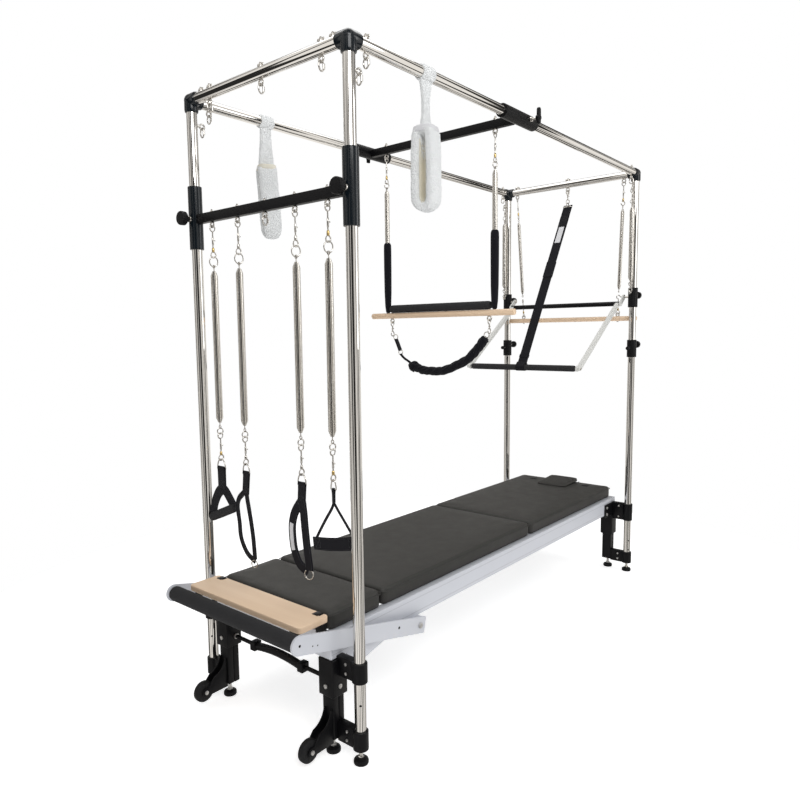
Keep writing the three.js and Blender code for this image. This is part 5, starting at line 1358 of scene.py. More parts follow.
def pile_tree():
    tree, given, sockets = new_tree("pile", [
        ("Source", "Geometry", None), ("Density", "Float", 40000.0), ("Tuft", "Float", 0.004),
        ("Seed", "Int", 3)])
    scattered = grow(tree, "GeometryNodeDistributePointsOnFaces", Mesh=given["Source"],
                     Density=given["Density"], Seed=given["Seed"])
    one = grow(tree, "GeometryNodeMeshIcoSphere", Radius=given["Tuft"], Subdivisions=1)
    size = grow(tree, "FunctionNodeRandomValue", {"data_type": "FLOAT_VECTOR"}, Seed=given["Seed"])
    vectors = [s for s in size.inputs if s.type == "VECTOR"]
    vectors[0].default_value, vectors[1].default_value = (0.6, 0.6, 0.3), (1.3, 1.3, 0.75)
    placed = grow(tree, "GeometryNodeInstanceOnPoints", Points=scattered, Instance=one)
    tree.links.new(scattered.outputs["Rotation"], placed.inputs["Rotation"])
    tree.links.new(size.outputs[0], placed.inputs["Scale"])
    both = tree.nodes.new("GeometryNodeJoinGeometry")
    for source in (given["Source"].socket, placed.outputs[0]):
        tree.links.new(source, both.inputs[0])
    send_out(tree, given, both)
    return tree, sockets


PILE, PILE_SOCKETS = pile_tree()


def sheepskin(name, blank, body, nodes=(), seed=3):
    values = {"Density": PILE_DENSITY, "Tuft": TUFT_R, "Seed": seed, "Material": fleece.material}
    grown_skin = grown(name, PILE, PILE_SOCKETS, values, mesh_of(name, blank))
    return dress(grown_skin, name, fleece, body, nodes, 180)


print("pile tree")

# %% Fleece loops
NECK_Z = 1.945
BAND_WIDE, BAND_THICK, BAND_HALF = 0.069, 0.031, 0.043
LINING_WIDE, LINING_THICK = 0.052, 0.0012
CUFF = [(0.012, 0.90, 0.80), (0.009, 0.97, 0.93), (0.000, 1.0, 1.0), (-0.006, 1.02, 1.02), (-0.008, 1.0, 1.0)]
FLEECES = {
    "left": {"at": 0.322, "low": 1.666, "turn": -119, "necks": (0.046, 0.050, 0.062, 0.074), "lean": 0.012},
    "right": {"at": 0.345, "low": 1.678, "turn": -80, "necks": (0.058, 0.032, 0.030, 0.056), "lean": 0.0},
}


def soft_oval(across, thick, steps=28):
    """The outline of a padded band: flat on both faces and round at its edges."""
    points = []
    for k in range(steps):
        c, s = math.cos(2 * math.pi * k / steps), math.sin(2 * math.pi * k / steps)
        flat, round_edge = math.copysign(abs(c) ** 0.75, c), math.copysign(abs(s) ** 0.6, s)
        points.append((thick / 2 * flat, across / 2 * round_edge))
    return points


for side_name, made in FLEECES.items():
    side = SIDES[side_name]
    x, y = NEAR_X + made["at"], side * POST_Y
    body = f"fleece_{side_name}"
    wrap, ring, cuff = Blank(), Blank(), Blank()
    outer = 0.0235
    profile = mirrored([(0, TUBE_R + 0.0008), (0.001, outer - 0.003), (0.006, outer)], 0.060)
    wrap.turned((x - 0.030, y, RAIL_Z), AHEAD, profile, 40, closed=True)
    neck_top, neck_low = RAIL_Z - 0.021, NECK_Z - 0.014
    neck = smooth_path([Vector((x, y, neck_top + (neck_low - neck_top) * k / 3)) for k in range(4)], 8)

    def neck_section(i):
        at = i / (len(neck) - 1) * 3
        k = min(int(at), 2)
        wide, next_wide = made["necks"][k:k + 2]
        return soft_oval(0.017, wide + (next_wide - wide) * (at - k), 20)

    wrap.swept(neck, neck_section, face=(0, 1, 0))
    sheepskin(f"fleece_wrap_{side_name}", wrap, body, seed=5 + side)
    in_plane = Matrix.Rotation(math.radians(made["turn"]), 3, "Z") @ AHEAD
    normal = in_plane.cross(UP)
    reach = BAND_HALF - BAND_THICK / 2
    bottom, top = made["low"] + BAND_THICK / 2 + 0.002 + reach, NECK_Z - BAND_THICK / 2 - reach * 0.6
    shoulders = [(a, top + (z - top) * 0.6) for a, z in arc((0, top), reach, 0, 180, 14)]
    outline = shoulders + arc((0, bottom), reach, 180, 360, 14)
    dense = []
    for (a, z), (b, c) in zip(outline, outline[1:] + outline[:1]):
        steps = max(1, int(math.hypot(b - a, c - z) / 0.010))
        dense += [(a + (b - a) * k / steps, z + (c - z) * k / steps) for k in range(steps)]

    def hung(a, z):
        """A place on the band's middle line: a across it, at height z."""
        down = (top - z) / (top - bottom)
        fuller = 0.86 + 0.14 * math.sin(math.pi * min(1.0, max(0.0, down)) * 0.72)
        return Vector((x, y, z)) + in_plane * a * fuller - normal * made["lean"] * down

    shift = np.random.default_rng(11 + side).uniform(0, 6.28, 4)

    def band_section(i):
        soft = 1 + 0.03 * math.sin(i * 0.45 + shift[0]) + 0.02 * math.sin(i * 1.3 + shift[1])
        folded = max(0.0, 1 - (dense[i][1] - bottom + reach) / 0.030)
        return soft_oval(BAND_WIDE * (2 + soft) / 3 * (1 - 0.20 * folded ** 2), BAND_THICK * soft)

    ring.swept([hung(a, z) for a, z in dense], band_section, closed=True, face=normal)
    loop = sheepskin(f"fleece_loop_{side_name}", ring, body, SAME, 9 + side)

    def cuff_section(i):
        _, across, thick = CUFF[i]
        return soft_oval((BAND_WIDE + 0.003) * across, (2 * BAND_HALF * 0.86 + 0.003) * thick, 32)

    cuff.swept([Vector((x, y, top + reach * 0.6 + drop)) for drop, _, _ in CUFF], cuff_section, face=normal)
    piece(f"fleece_cuff_{side_name}", cuff, cream_tape if side > 0 else label_white, body)
    inside = (reach - BAND_THICK / 2 - LINING_THICK) / reach
    lining = [hung(a * inside, z + (0.011 if z < bottom else 0)) for a, z in dense if z < top]
    trim = Blank().strap(lining, LINING_WIDE, LINING_THICK, across=normal)
    piece(f"fleece_lining_{side_name}", trim, cream_tape, body)
print("fleece loops")

# %% [markdown]
# ## Far end
# Each far post carries two collars. The upper one holds a thick spring, pulled tight from the post's
# eye, and the push bar's pivot. The lower one slides and has a pull pin. Small knobs lock them from
# the far side. The push bar is a silver frame with a black foam grip and a black cross tube.

# %% Collars and their knobs
UPPER = (1.420, 1.520, 1.484)
LOWER = (1.160, 1.250, 1.225)
PIVOT_Z, UPPER_EYE_Z, PULL_Z = 1.475, 1.497, 1.207
COLLAR_R, COLLAR_KNOB_REACH = 0.024, 0.060
THICK_TOP, THICK_LOW = 1.925, 1.555
PIVOT_HEAD = [(0, 0.0095), (0.005, 0.0095), (0.0062, 0.008)]
PULL_CAP = [(0, 0.008), (0.002, 0.0098), (0.011, 0.0098), (0.0138, 0.008)]


def collar(name, y, low, top, knob_z, body):
    sleeve, screw, knob = Blank(), Blank(), Blank()
    sleeve.sleeve((FAR_X, y, low), UP, top - low, COLLAR_R)
    sleeve.disc((FAR_X + COLLAR_R - 0.002, y, knob_z), AHEAD, 0.010, 0.010, 28, 0.0008)
    knob_at = Vector((FAR_X + COLLAR_KNOB_REACH, y, knob_z))
    screw.rod((FAR_X + COLLAR_R + 0.006, y, knob_z), knob_at + AHEAD * 0.004, 0.0045, 18)
    knurled(knob, knob_at, AHEAD, 0.0188, 0.0195, 18)
    piece(name, sleeve, black_coat, body, SAME)
    piece(f"{name}_screw", screw, zinc, body)
    piece(f"{name}_knob", knob, black_plastic, body)


for side_name, side in SIDES.items():
    y = side * POST_Y
    body = f"collar_{side_name}"
    collar(f"upper_collar_{side_name}", y, *UPPER, "root")
    collar(f"lower_collar_{side_name}", y, *LOWER, body)
    eye, pin, cap = Blank(), Blank(), Blank()
    x = FAR_X - SIDE_EYE
    side_eye(eye, FAR_X, y, UPPER_EYE_Z, 1, COLLAR_R - 0.002)
    eye.ring((x, y, UPPER_EYE_Z), EYE_R, EYE_WIRE, (0, 1, 0))
    eye.rod((FAR_X, y - side * (COLLAR_R - 0.002), PIVOT_Z), (FAR_X, side * 0.3185, PIVOT_Z), 0.0058, 24)
    eye.turned((FAR_X, side * 0.3215, PIVOT_Z), (0, -side, 0), PIVOT_HEAD, 24, 0.0005)
    piece(f"upper_collar_eye_{side_name}", eye, hardware, "root")
    pin.rod((FAR_X - COLLAR_R + 0.002, y, PULL_Z), (FAR_X - 0.052, y, PULL_Z), 0.005, 20)
    cap.turned((FAR_X - 0.048, y, PULL_Z), OUTWARD, PULL_CAP, 28)
    piece(f"pull_pin_{side_name}", pin, chrome, body)
    piece(f"pull_pin_cap_{side_name}", cap, black_plastic, body)
    steel, barrels, ends = Blank(), Blank(), Blank()
    hook_top = THICK_LOW - 0.010
    snap_hook(steel, barrels, x, y, POST_EYE_Z - EYE_R + EYE_WIRE, 0.068, "x")
    snap_hook(steel, barrels, x, y, hook_top, hook_top - (UPPER_EYE_Z + EYE_R - EYE_WIRE) + 0.002, "x")
    spring(f"thick_spring_{side_name}", (x, y, THICK_TOP), THICK_TOP - THICK_LOW, 0.0125, 0.002, "root")
    eye_stem(ends, x, y, THICK_TOP, 1, "y", 0.007, 0.002, 0.020)
    eye_stem(ends, x, y, THICK_LOW, -1, "y", 0.007, 0.002, 0.018)
    piece(f"thick_spring_ends_{side_name}", ends, spring_steel, "root")
    piece(f"thick_spring_hooks_{side_name}", steel, hardware, "root")
    piece(f"thick_spring_swivels_{side_name}", barrels, hardware, "root")
print("collars and thick springs")

# %% Push bar
CROSS = Vector((NEAR_X + 2.077, 0, 1.439))
GRIP_AT = Vector((NEAR_X + 1.620, 0, 1.120))
PIVOT = Vector((FAR_X, 0, PIVOT_Z))
PUSH_ARM_Y, PUSH_PLATE_Y = 0.310, (0.322, 0.330)
LEFTWARD = DIRECTION["y"]


def flat_arm(blank, start, end, half, low, top):
    """A flat bar with round ends between two places of the XZ plane."""
    run = (end - start).normalized()
    heading = math.degrees(math.atan2(run.z, run.x))
    outline = arc((end.x, end.z), half, heading - 90, heading + 90, 12)
    outline += arc((start.x, start.z), half, heading + 90, heading + 270, 12)
    blank.plate(outline, low, top, "y", 0.0015)


arms, cross, steel = Blank(), Blank(), Blank()
cross.rod((CROSS.x, -0.321, CROSS.z), (CROSS.x, 0.321, CROSS.z), 0.012, 36, 0.001)
for side in SIDES.values():
    flat_arm(arms, CROSS, PIVOT, 0.0128, side * PUSH_PLATE_Y[0], side * PUSH_PLATE_Y[1])
    arm_y = LEFTWARD * side * PUSH_ARM_Y
    flat_arm(arms, GRIP_AT, CROSS, 0.0105, side * (PUSH_ARM_Y - 0.0075), side * (PUSH_ARM_Y + 0.0105))
    steel.disc(GRIP_AT + arm_y + LEFTWARD * side * 0.0100, (0, side, 0), 0.004, 0.0065, 6, 0.0005)
    arms.rod(GRIP_AT + arm_y * 0.963, GRIP_AT + arm_y * 0.99, 0.0145, 32, 0.001)
reach = LEFTWARD * 0.291
grip = padded_roll(GRIP_AT - reach, GRIP_AT + reach, 0.015, 0.86, 36, 0.2, 0.004)
piece("push_bar", arms, arm_silver, "push_bar", ["push_bar_frame"], 16)
piece("push_bar_cross", cross, black_coat, "push_bar")
piece("push_bar_bolts", steel, hardware, "push_bar")
piece("push_bar_grip", grip, foam, "push_bar", SAME)
print("push bar")

# %% [markdown]
# ### Safety strap
# Black webbing 50 mm wide runs from a ring on the far rail's middle eye straight down to the push
# bar. It turns round the grip, comes back up and is sewn to itself, so it is doubled all the way. When
# the bar is pushed up the strap goes slack.

# %% Strap from the rail to the push bar
STRAP_WIDE, STRAP_THICK, GRIP_TURN = 0.050, 0.0022, 0.0165
FAR_EYE_BEARS = RAIL_UNDER - EYE_WIRE * 0.4 - 2 * EYE_R + EYE_WIRE
HOOK_DOWN, LINK_R, LINK_WIRE = 0.066, 0.0125, 0.0022
link_z = FAR_EYE_BEARS - HOOK_DOWN - 0.012
strap_top = Vector((FAR_X, 0, link_z - LINK_R))
run = (GRIP_AT - strap_top).normalized()
off = run.cross(LEFTWARD)
close = STRAP_THICK * 0.62


def leg_of_strap(way):
    """One of the two layers, from the ring down to the grip."""
    return [strap_top + off * way * 0.002, strap_top + run * 0.03 + off * way * close,
            strap_top.lerp(GRIP_AT, 0.5) + off * way * close, GRIP_AT - run * 0.06 + off * way * close,
            GRIP_AT - run * 0.025 + off * way * GRIP_TURN * 0.62]


def lap(blank, share, long, thick, wide, ways=(-1, 1)):
    """A layer of webbing laid over the strap at a share of its way down."""
    for way in ways:
        base = strap_top.lerp(GRIP_AT, share) + off * way * (STRAP_THICK * 1.12 + thick / 2)
        blank.strap([base + run * long * t for t in (0, 0.25, 0.5, 0.75, 1)], wide, thick, across=LEFTWARD)


round_grip = [GRIP_AT + off * GRIP_TURN * c + run * GRIP_TURN * s for c, s in arc((0, 0), 1, 0, 180, 12)]
round_ring = [strap_top + off * 0.0028 * c - run * 0.0028 * s for c, s in arc((0, 0), 1, 150, 30, 6)]
down = smooth_path(leg_of_strap(1) + round_grip[:1], 8)
up = smooth_path([round_grip[-1]] + leg_of_strap(-1)[::-1], 8)
route = down[:-1] + round_grip + up[1:] + round_ring[:-1]
cut_length = sum((b - a).length for a, b in zip(route, route[1:]))

band, link, keeper, tag = Blank(), Blank(), Blank(), Blank()
band.strap(route, STRAP_WIDE, STRAP_THICK, across=LEFTWARD)
strap = piece("safety_strap", band, webbing, "root", SAME)
link.ring((FAR_X, 0, link_z), LINK_R, LINK_WIRE, LEFTWARD)
one_end, other_end = ((FAR_X, side * 0.0265, strap_top.z + 0.0028) for side in (-1, 1))
link.bar([one_end, other_end], LINK_WIRE)
link.bar([one_end, (FAR_X, -0.010, link_z - 0.004), (FAR_X, 0.010, link_z - 0.004), other_end], LINK_WIRE)
snap_hook(link, link, FAR_X, 0, FAR_EYE_BEARS, HOOK_DOWN, "x")
lap(keeper, 0.06, 0.07, 0.0018, STRAP_WIDE * 0.98)
lap(keeper, 0.36, 0.095, 0.0030, STRAP_WIDE * 1.04)
lap(keeper, 0.925, 0.018, 0.0022, STRAP_WIDE * 1.04)
lap(tag, 0.13, 0.105, 0.0007, STRAP_WIDE * 0.62, (-1,))
face = off * -(STRAP_THICK * 1.12 + 0.0020)
seams = []
for share in (0.075, 0.11):
    seams += sewn_box(strap_top.lerp(GRIP_AT, share), run, LEFTWARD, 0.026, 0.038, face)
over = [
    piece("safety_strap_link", link, hardware, "root"),
    piece("safety_strap_keeper", keeper, webbing, "root"),
    piece("safety_strap_blank_label", tag, label_white, "root"),
    stitched("safety_strap_stitches", seams, "root"),
]
for obj in (strap, *over):
    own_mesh(obj)
print("safety strap cut", round(cut_length, 3), "m")

# %% Roll-down bar
ROLL_HALF, ROLL_EYE_Y, FAR_EYE_Y = 0.385, 0.283, 0.313
ROLL_HOOKS, SNAPS = 0.134, (0.112, 0.095)
low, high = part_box("roll_down_bar")
ROLL_X, ROLL_Z = (low[0] + high[0]) / 2, low[2] + DOWEL_R
eyes = Blank()
body = "roll_down"
for side_name, side in SIDES.items():
    bearing = Vector((FAR_X, side * FAR_EYE_Y, FAR_EYE_BEARS - 0.002))
    eye = Vector((ROLL_X, side * ROLL_EYE_Y, ROLL_Z + DOWEL_R + EYE_R))
    eyes.ring(eye, EYE_R, EYE_WIRE, AHEAD)
    eyes.disc((ROLL_X, eye.y, ROLL_Z - 0.0135), -UP, 0.004, 0.0055, 6, 0.0005)
    length = (eye - bearing).length
    steel, barrels, stems = Blank(), Blank(), Blank()
    snap_hook(steel, barrels, 0, 0, 0, SNAPS[0], "y")
    snap_hook(steel, barrels, 0, 0, -length + 0.100, SNAPS[1], "y")
    for z, way in ((-ROLL_HOOKS, 1), (ROLL_HOOKS - length, -1)):
        eye_stem(stems, 0, 0, z, way, "x", 0.006, 0.0015, 0.018)
    wound = length - 2 * ROLL_HOOKS
    coil = spring(f"roll_down_spring_{side_name}", (0, 0, -ROLL_HOOKS), wound, 0.0095, 0.0015, body)
    parts = [coil, piece(f"roll_down_hooks_{side_name}", steel, hardware, body),
             piece(f"roll_down_swivels_{side_name}", barrels, brass, body),
             piece(f"roll_down_spring_ends_{side_name}", stems, spring_steel, body)]
    lean = Matrix.Translation(bearing) @ (eye - bearing).to_track_quat("-Z", "Y").to_matrix().to_4x4()
    for obj in parts:
        obj.data.transform(lean)
    mark_way_out(coil.data, bearing, eye)
piece("roll_down_bar", dowel(ROLL_X, ROLL_Z, ROLL_HALF), pale_wood, body, SAME)
piece("roll_down_eyes", eyes, hardware, body)
print("roll-down bar")

# %% [markdown]
# ## Bed frame
# Two silver side rails with a fine groove, end members and two cross members carry the mats. The
# grooves are thin grey strips of painted shade. Plates under the near rail carry the footbar's pivots,
# and black brackets carry the standing platform.

# %% Bed frame
BED_X = (NEAR_X - 0.035, NEAR_X + 2.155)
BED_HALF, RAIL_WIDE = 0.290, 0.040
PIVOT_AT = Vector((NEAR_X + 0.366, 0, 0.290))
UNDER_RAIL = [(0.032, 0.311), (0.032, 0.268), (0.038, 0.262), (0.115, 0.262), (0.235, 0.290),
              (0.322, 0.3055), (0.330, 0.311)]
PIN_HEAD = [(0, 0.010), (0.004, 0.0095), (0.006, 0.006)]
PIVOT_BLOCK = (PIVOT_AT.x - 0.030, PIVOT_AT.x + 0.030)
BRACKET_X, BRACKET_Y, GROOVE_INSET = (NEAR_X - 0.140, NEAR_X - 0.024), (0.222, 0.262), 0.003
MEMBERS = ((BED_X[0], BED_X[0] + 0.025, BED_LOW, BED_TOP), (BED_X[1] - 0.025, BED_X[1], BED_LOW, BED_TOP),
           (NEAR_X + 0.740, NEAR_X + 0.780, 0.330, 0.380), (NEAR_X + 1.380, NEAR_X + 1.420, 0.330, 0.380))

rails, brackets, groove_shade_strips, pins = Blank(), Blank(), Blank(), Blank()
rail_inner, under = BED_HALF - RAIL_WIDE, MAT_TOP - 0.0205
for x0, x1, z0, z1 in MEMBERS:
    rails.block((x0, -rail_inner - 0.001, z0), (x1, rail_inner + 0.001, z1), 0.002)
for side in SIDES.values():
    rails.block((BED_X[0], side * rail_inner, BED_LOW), (BED_X[1], side * BED_HALF, BED_TOP), 0.003, 3)
    outline = [(NEAR_X + a, b) for a, b in UNDER_RAIL]
    rails.plate(outline, side * (BED_HALF - 0.004), side * (BED_HALF - 0.0002), "y", 0.0008)
    inner_y, outer_y = side * (rail_inner + 0.001), side * 0.3115
    rails.block((PIVOT_BLOCK[0], inner_y, 0.272), (PIVOT_BLOCK[1], outer_y, 0.311), 0.003, 3)
    pins.rod((PIVOT_AT.x, side * 0.308, PIVOT_AT.z), (PIVOT_AT.x, side * 0.3205, PIVOT_AT.z), 0.0053, 24)
    pins.turned((PIVOT_AT.x, side * 0.3203, PIVOT_AT.z), (0, side, 0), PIN_HEAD, 28)
    inner_y, outer_y = (side * y for y in BRACKET_Y)
    brackets.block((BRACKET_X[0], inner_y, under - 0.009), (BRACKET_X[1], outer_y, under), 0.0015)
    brackets.block((BED_X[0], inner_y, BED_TOP - 0.009), (BRACKET_X[1], outer_y, under), 0.0015)
    # The grooves are thin grey strips on the rail's face: painted shade for their depth.
    face_y = side * (BED_HALF + 0.00015)
    for z in (BED_LOW + 0.016, BED_TOP - 0.016):
        start = (BED_X[0] + GROOVE_INSET, face_y, z - 0.0006)
        groove_shade_strips.block(start, (BED_X[1] - GROOVE_INSET, face_y - side * 0.002, z + 0.0006), 0)
piece("bed_rails", rails, silver_coat, "root", ["bed_frame"])
piece("bed_rail_groove_shade_strips", groove_shade_strips, painted_groove_shade, "root")
piece("platform_brackets", brackets, black_coat, "root")
piece("footbar_pivot_pins", pins, zinc, "root")
print("bed frame")

# %% Standing platform
BOARD_X, BOARD_HALF, BOARD_CORNER = (NEAR_X - 0.150, NEAR_X - 0.030), 0.280, 0.014
NOTCH_X, NOTCH_Y, NOTCH_INSET = 0.020, 0.030, 0.022


def rounded_plan(low, high, radius, steps):
    """The corners of a rectangle as arcs, from the one at high x and high y round to the left."""
    turns = [(high[0] - radius, high[1] - radius), (low[0] + radius, high[1] - radius),
             (low[0] + radius, low[1] + radius), (high[0] - radius, low[1] + radius)]
    return [arc(centre, radius, 90 * k, 90 * k + 90, steps) for k, centre in enumerate(turns)]


x0, x1 = BOARD_X
corners = rounded_plan((x0, -BOARD_HALF), (x1, BOARD_HALF), BOARD_CORNER, 6)
notch_in, notch_out = BOARD_HALF - NOTCH_INSET - NOTCH_Y, BOARD_HALF - NOTCH_INSET
notch = [(x1, notch_in), (x1 - NOTCH_X, notch_in), (x1 - NOTCH_X, notch_out), (x1, notch_out)]
plan = corners[2] + corners[3] + [(x, -y) for x, y in notch[::-1]] + notch + corners[0] + corners[1]
board = Blank().plate(plan, MAT_TOP - 0.020, MAT_TOP, "z", 0.0028, 3)
piece("standing_platform", board, board_wood, "root", SAME)
hooks = Blank()
for side in SIDES.values():
    x, y = x1 - NOTCH_X / 2, side * (notch_out - NOTCH_Y / 2)
    hooks.block((x - 0.0095, y - 0.0145, MAT_TOP - 0.021), (x + 0.0105, y + 0.0145, MAT_TOP - 0.004), 0.002)
    hooks.block((x - 0.0165, y - 0.0125, MAT_TOP - 0.003), (x + 0.0085, y + 0.0125, MAT_TOP + 0.0016), 0.0008)
piece("platform_hooks", hooks, black_coat, "root")
print("platform")

# %% [markdown]
# ## Footbar
# A thick foam bar on two flat light arms. Each arm turns on a pin in the plate under the bed rail,
# and has a small hole near its end, two dots beside it and one hole near the pin. The holes and dots
# are dark discs of painted shade.

# %% Footbar
FOOT_AT = Vector((NEAR_X - 0.186, 0, 0.423))
FOOT_ARM_Y, FOOT_ARM_HALF = (0.312, 0.320), 0.029
arms, hole_shades, core = Blank(), Blank(), Blank()
run = (PIVOT_AT - FOOT_AT).normalized()
lift = Vector((-run.z, 0, run.x))
heading = math.degrees(math.atan2(run.z, run.x))
outline = arc((FOOT_AT.x, FOOT_AT.z), FOOT_ARM_HALF, heading + 90, heading + 270, 20)
for along, across in ((0.026, -0.029), (0.030, -0.027), (0.030, 0.027), (0.026, 0.029)):
    spot = PIVOT_AT + run * along + lift * across
    outline.append((spot.x, spot.z))
spots = ((FOOT_AT, 0.0042), (FOOT_AT + run * 0.052 - lift * 0.006, 0.0022),
         (FOOT_AT + run * 0.072 - lift * 0.006, 0.0022), (PIVOT_AT - run * 0.118 + lift * 0.004, 0.0048))
for side in SIDES.values():
    arms.plate(outline, side * FOOT_ARM_Y[0], side * FOOT_ARM_Y[1], "y", 0.0012)
    # Dark discs of painted shade stand for the holes and dots.
    for spot, size in spots:
        hole_shades.disc((spot.x, side * (FOOT_ARM_Y[1] - 0.001), spot.z), (0, side, 0), 0.0013, size, 20)
core.rod(FOOT_AT - LEFTWARD * 0.3195, FOOT_AT + LEFTWARD * 0.3195, 0.014, 32, 0.001)
piece("footbar_arms", arms, silver_coat, "footbar", ["footbar_frame"])
piece("footbar_core", core, zinc, "footbar")
piece("footbar_hole_shades", hole_shades, painted_shade, "footbar")
grip = padded_roll(FOOT_AT - LEFTWARD * 0.3115, FOOT_AT + LEFTWARD * 0.3115, 0.025, 0.90, 48, 0.16, 0.003)
piece("footbar_grip", grip, foam, "footbar", SAME)
print("footbar")

# %% [markdown]
# ## Mats and headrest
# Each mat is firm foam under vinyl. The cover is a rounded block, remeshed evenly and blown up a little
# by a cloth simulation with its base held, so that its top crowns and its edges draw in between the
# corners. Its movement is capped at a few millimetres because the foam is firm. The headrest is made
# the same way and then lowered towards the mat, as a wedge.

# %% Upholstery
PRESSURE, SIM_FRAMES, PLAN_R, STIFF = 4.0, 20, 0.022, 40


def places_of(mesh):
    places = np.empty(len(mesh.vertices) * 3)
    mesh.vertices.foreach_get("co", places)
    return places.reshape(-1, 3)


def apply_modifier(obj, kind, **settings):
    """Adds one modifier with its settings and applies it."""
    modifier = obj.modifiers.new(kind.lower(), kind)
    for key, value in settings.items():
        setattr(modifier, key, value)
    bpy.ops.object.modifier_apply(modifier=modifier.name)


def blow_up(obj, base_z, cap):
    """Blows a cover up by cloth simulation, its base held and its movement capped."""
    rest = places_of(obj.data)
    held = obj.vertex_groups.new(name="held")
    held.add([int(i) for i in np.flatnonzero(rest[:, 2] < base_z)], 1.0, "REPLACE")
    cloth = obj.modifiers.new("cover", "CLOTH")
    cloth.settings.vertex_group_mass = held.name
    cloth.settings.use_pressure = True
    cloth.settings.uniform_pressure_force = PRESSURE
    cloth.settings.effector_weights.gravity = 0
    cloth.settings.tension_stiffness = cloth.settings.compression_stiffness = STIFF
    cloth.point_cache.frame_start, cloth.point_cache.frame_end = 1, SIM_FRAMES
    for frame_number in range(1, SIM_FRAMES + 1):
        SCENE.frame_set(frame_number)
    bpy.ops.object.modifier_apply(modifier=cloth.name)
    SCENE.frame_set(1)
    step = places_of(obj.data) - rest
    size = np.linalg.norm(step, axis=1, keepdims=True)
    step *= np.minimum(1.0, cap / np.maximum(size, 1e-9))
    obj.data.vertices.foreach_set("co", (rest + step).ravel())
    obj.vertex_groups.clear()
    print("moved up to", round(float(size.max()) * 1000, 1), "mm, capped at", cap * 1000)


def upholstered(name, low, high, body, voxel=0.008, corner=0.010, cap=0.0022):
    """A padded block between two corners, standing for the node of its name."""
    plan = sum(rounded_plan(low, high, PLAN_R, 8), [])
    block = Blank().plate(plan, low[2], high[2], "z", corner, 4)
    obj = bpy.data.objects.new(name, mesh_of(name, block))
    SCENE.collection.objects.link(obj)
    bpy.context.view_layer.objects.active = obj
    apply_modifier(obj, "REMESH", mode="VOXEL", voxel_size=voxel)
    blow_up(obj, low[2] + 0.006, cap)
    apply_modifier(obj, "SUBSURF", levels=1)
    SCENE.collection.objects.unlink(obj)
    made = dress(obj, name, vinyl, body, SAME, 180)
    return made


MAT_X = (NEAR_X - 0.021, NEAR_X + 0.228, NEAR_X + 1.237, NEAR_X + 2.141)
MAT_HALF, MAT_LOW, CROWN = 0.271, BED_TOP + 0.0006, MAT_TOP - 0.0015
for name, x0, x1 in zip(("mat_near", "mat_middle", "mat_far"), MAT_X, MAT_X[1:]):
    upholstered(name, (x0 + 0.002, -MAT_HALF, MAT_LOW), (x1 - 0.002, MAT_HALF, CROWN), "root")
print("mats")

# %% Welts round the mats, and the headrest
WELT_HALF, WELT_TURN, WELT_R = MAT_HALF + 0.0012, 0.023, 0.0016
REST_BASE, REST_THIN, WELL_EDGE = MAT_TOP + 0.0012, 0.22, 0.003

welts = Blank()
for x0, x1 in zip(MAT_X, MAT_X[1:]):
    plan = sum(rounded_plan((x0 + 0.0005, -WELT_HALF), (x1 - 0.0005, WELT_HALF), WELT_TURN, 6), [])
    welts.bar([(x, y, CROWN - 0.011) for x, y in plan], WELT_R, 8, closed=True, face=UP)
piece("mat_welts", welts, vinyl, "root")
low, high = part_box("headrest")
rest_low = (low[0] + 0.001, low[1] + 0.001, REST_BASE)
rest_high = tuple(edge - 0.001 for edge in high)
headrest = upholstered("headrest", rest_low, rest_high, "headrest", 0.005, 0.005, 0.0012)
for vertex in headrest.data.vertices:
    share = min(1.0, max(0.0, (vertex.co.x - low[0]) / (high[0] - low[0])))
    vertex.co.z = REST_BASE + (vertex.co.z - REST_BASE) * (REST_THIN + (1 - REST_THIN) * share ** 0.8)
# A dark bar round the headrest's foot is painted shade in the gap where it meets the mat.
y0, y1 = low[1] - WELL_EDGE, high[1] + WELL_EDGE
well = [(high[0], y0), (low[0] - WELL_EDGE, y0), (low[0] - WELL_EDGE, y1), (high[0], y1)]
well_shade_line = Blank().bar([(x, y, MAT_TOP - 0.0006) for x, y in well], 0.0014, 8)
piece("headrest_well_shade", well_shade_line, painted_shade, "root")
plugs = Blank()
x0, x1 = NEAR_X + 2.045, NEAR_X + 2.075
for y in (side * 0.160 for side in SIDES.values()):
    plugs.block((x0, y - 0.016, MAT_TOP - 0.003), (x1, y + 0.016, MAT_TOP + 0.0022), 0.0015)
piece("shoulder_post_plugs", plugs, black_plastic, "root")
print("headrest")

# %% [markdown]
# ## Legs, wheels and tie tube
# Each leg is a black square column with a wider head. Two clamps hold the canopy post beside it. Near
# legs carry a wheel between two cheeks, far legs a plate with four bolts. An arched tie tube with two
# hinge blocks joins the near legs.

# %% Legs
LEG_IN, LEG_OUT, LEG_Y = 0.017, 0.030, (0.2425, 0.290)
LEG_LOW, LEG_HEAD, HEAD_EXTRA, HEAD_BOLT_Z = 0.050, 0.190, 0.008, 0.222
LEG_TOP = BED_LOW - 0.0003
CLAMPS = {"near": ((0.045, 0.105), (0.258, 0.320)), "far": ((0.045, 0.105), (0.280, 0.370))}
CLAMP_R, CLAMP_HALF = 0.024, 0.014
WHEEL_X, WHEEL_Y, WHEEL_Z = NEAR_X - 0.118, 0.269, 0.055
CAP_BOLT = [(0, 0.005), (0.003, 0.0048), (0.0042, 0.003)]
HEAD_BOLT = [(0, 0.0075), (0.003, 0.007), (0.0045, 0.004)]
PLATE_BOLT = [(0, 0.0075), (0.004, 0.007), (0.0058, 0.004)]
AXLE_BOLT = [(0, 0.0075), (0.0035, 0.007), (0.005, 0.004)]


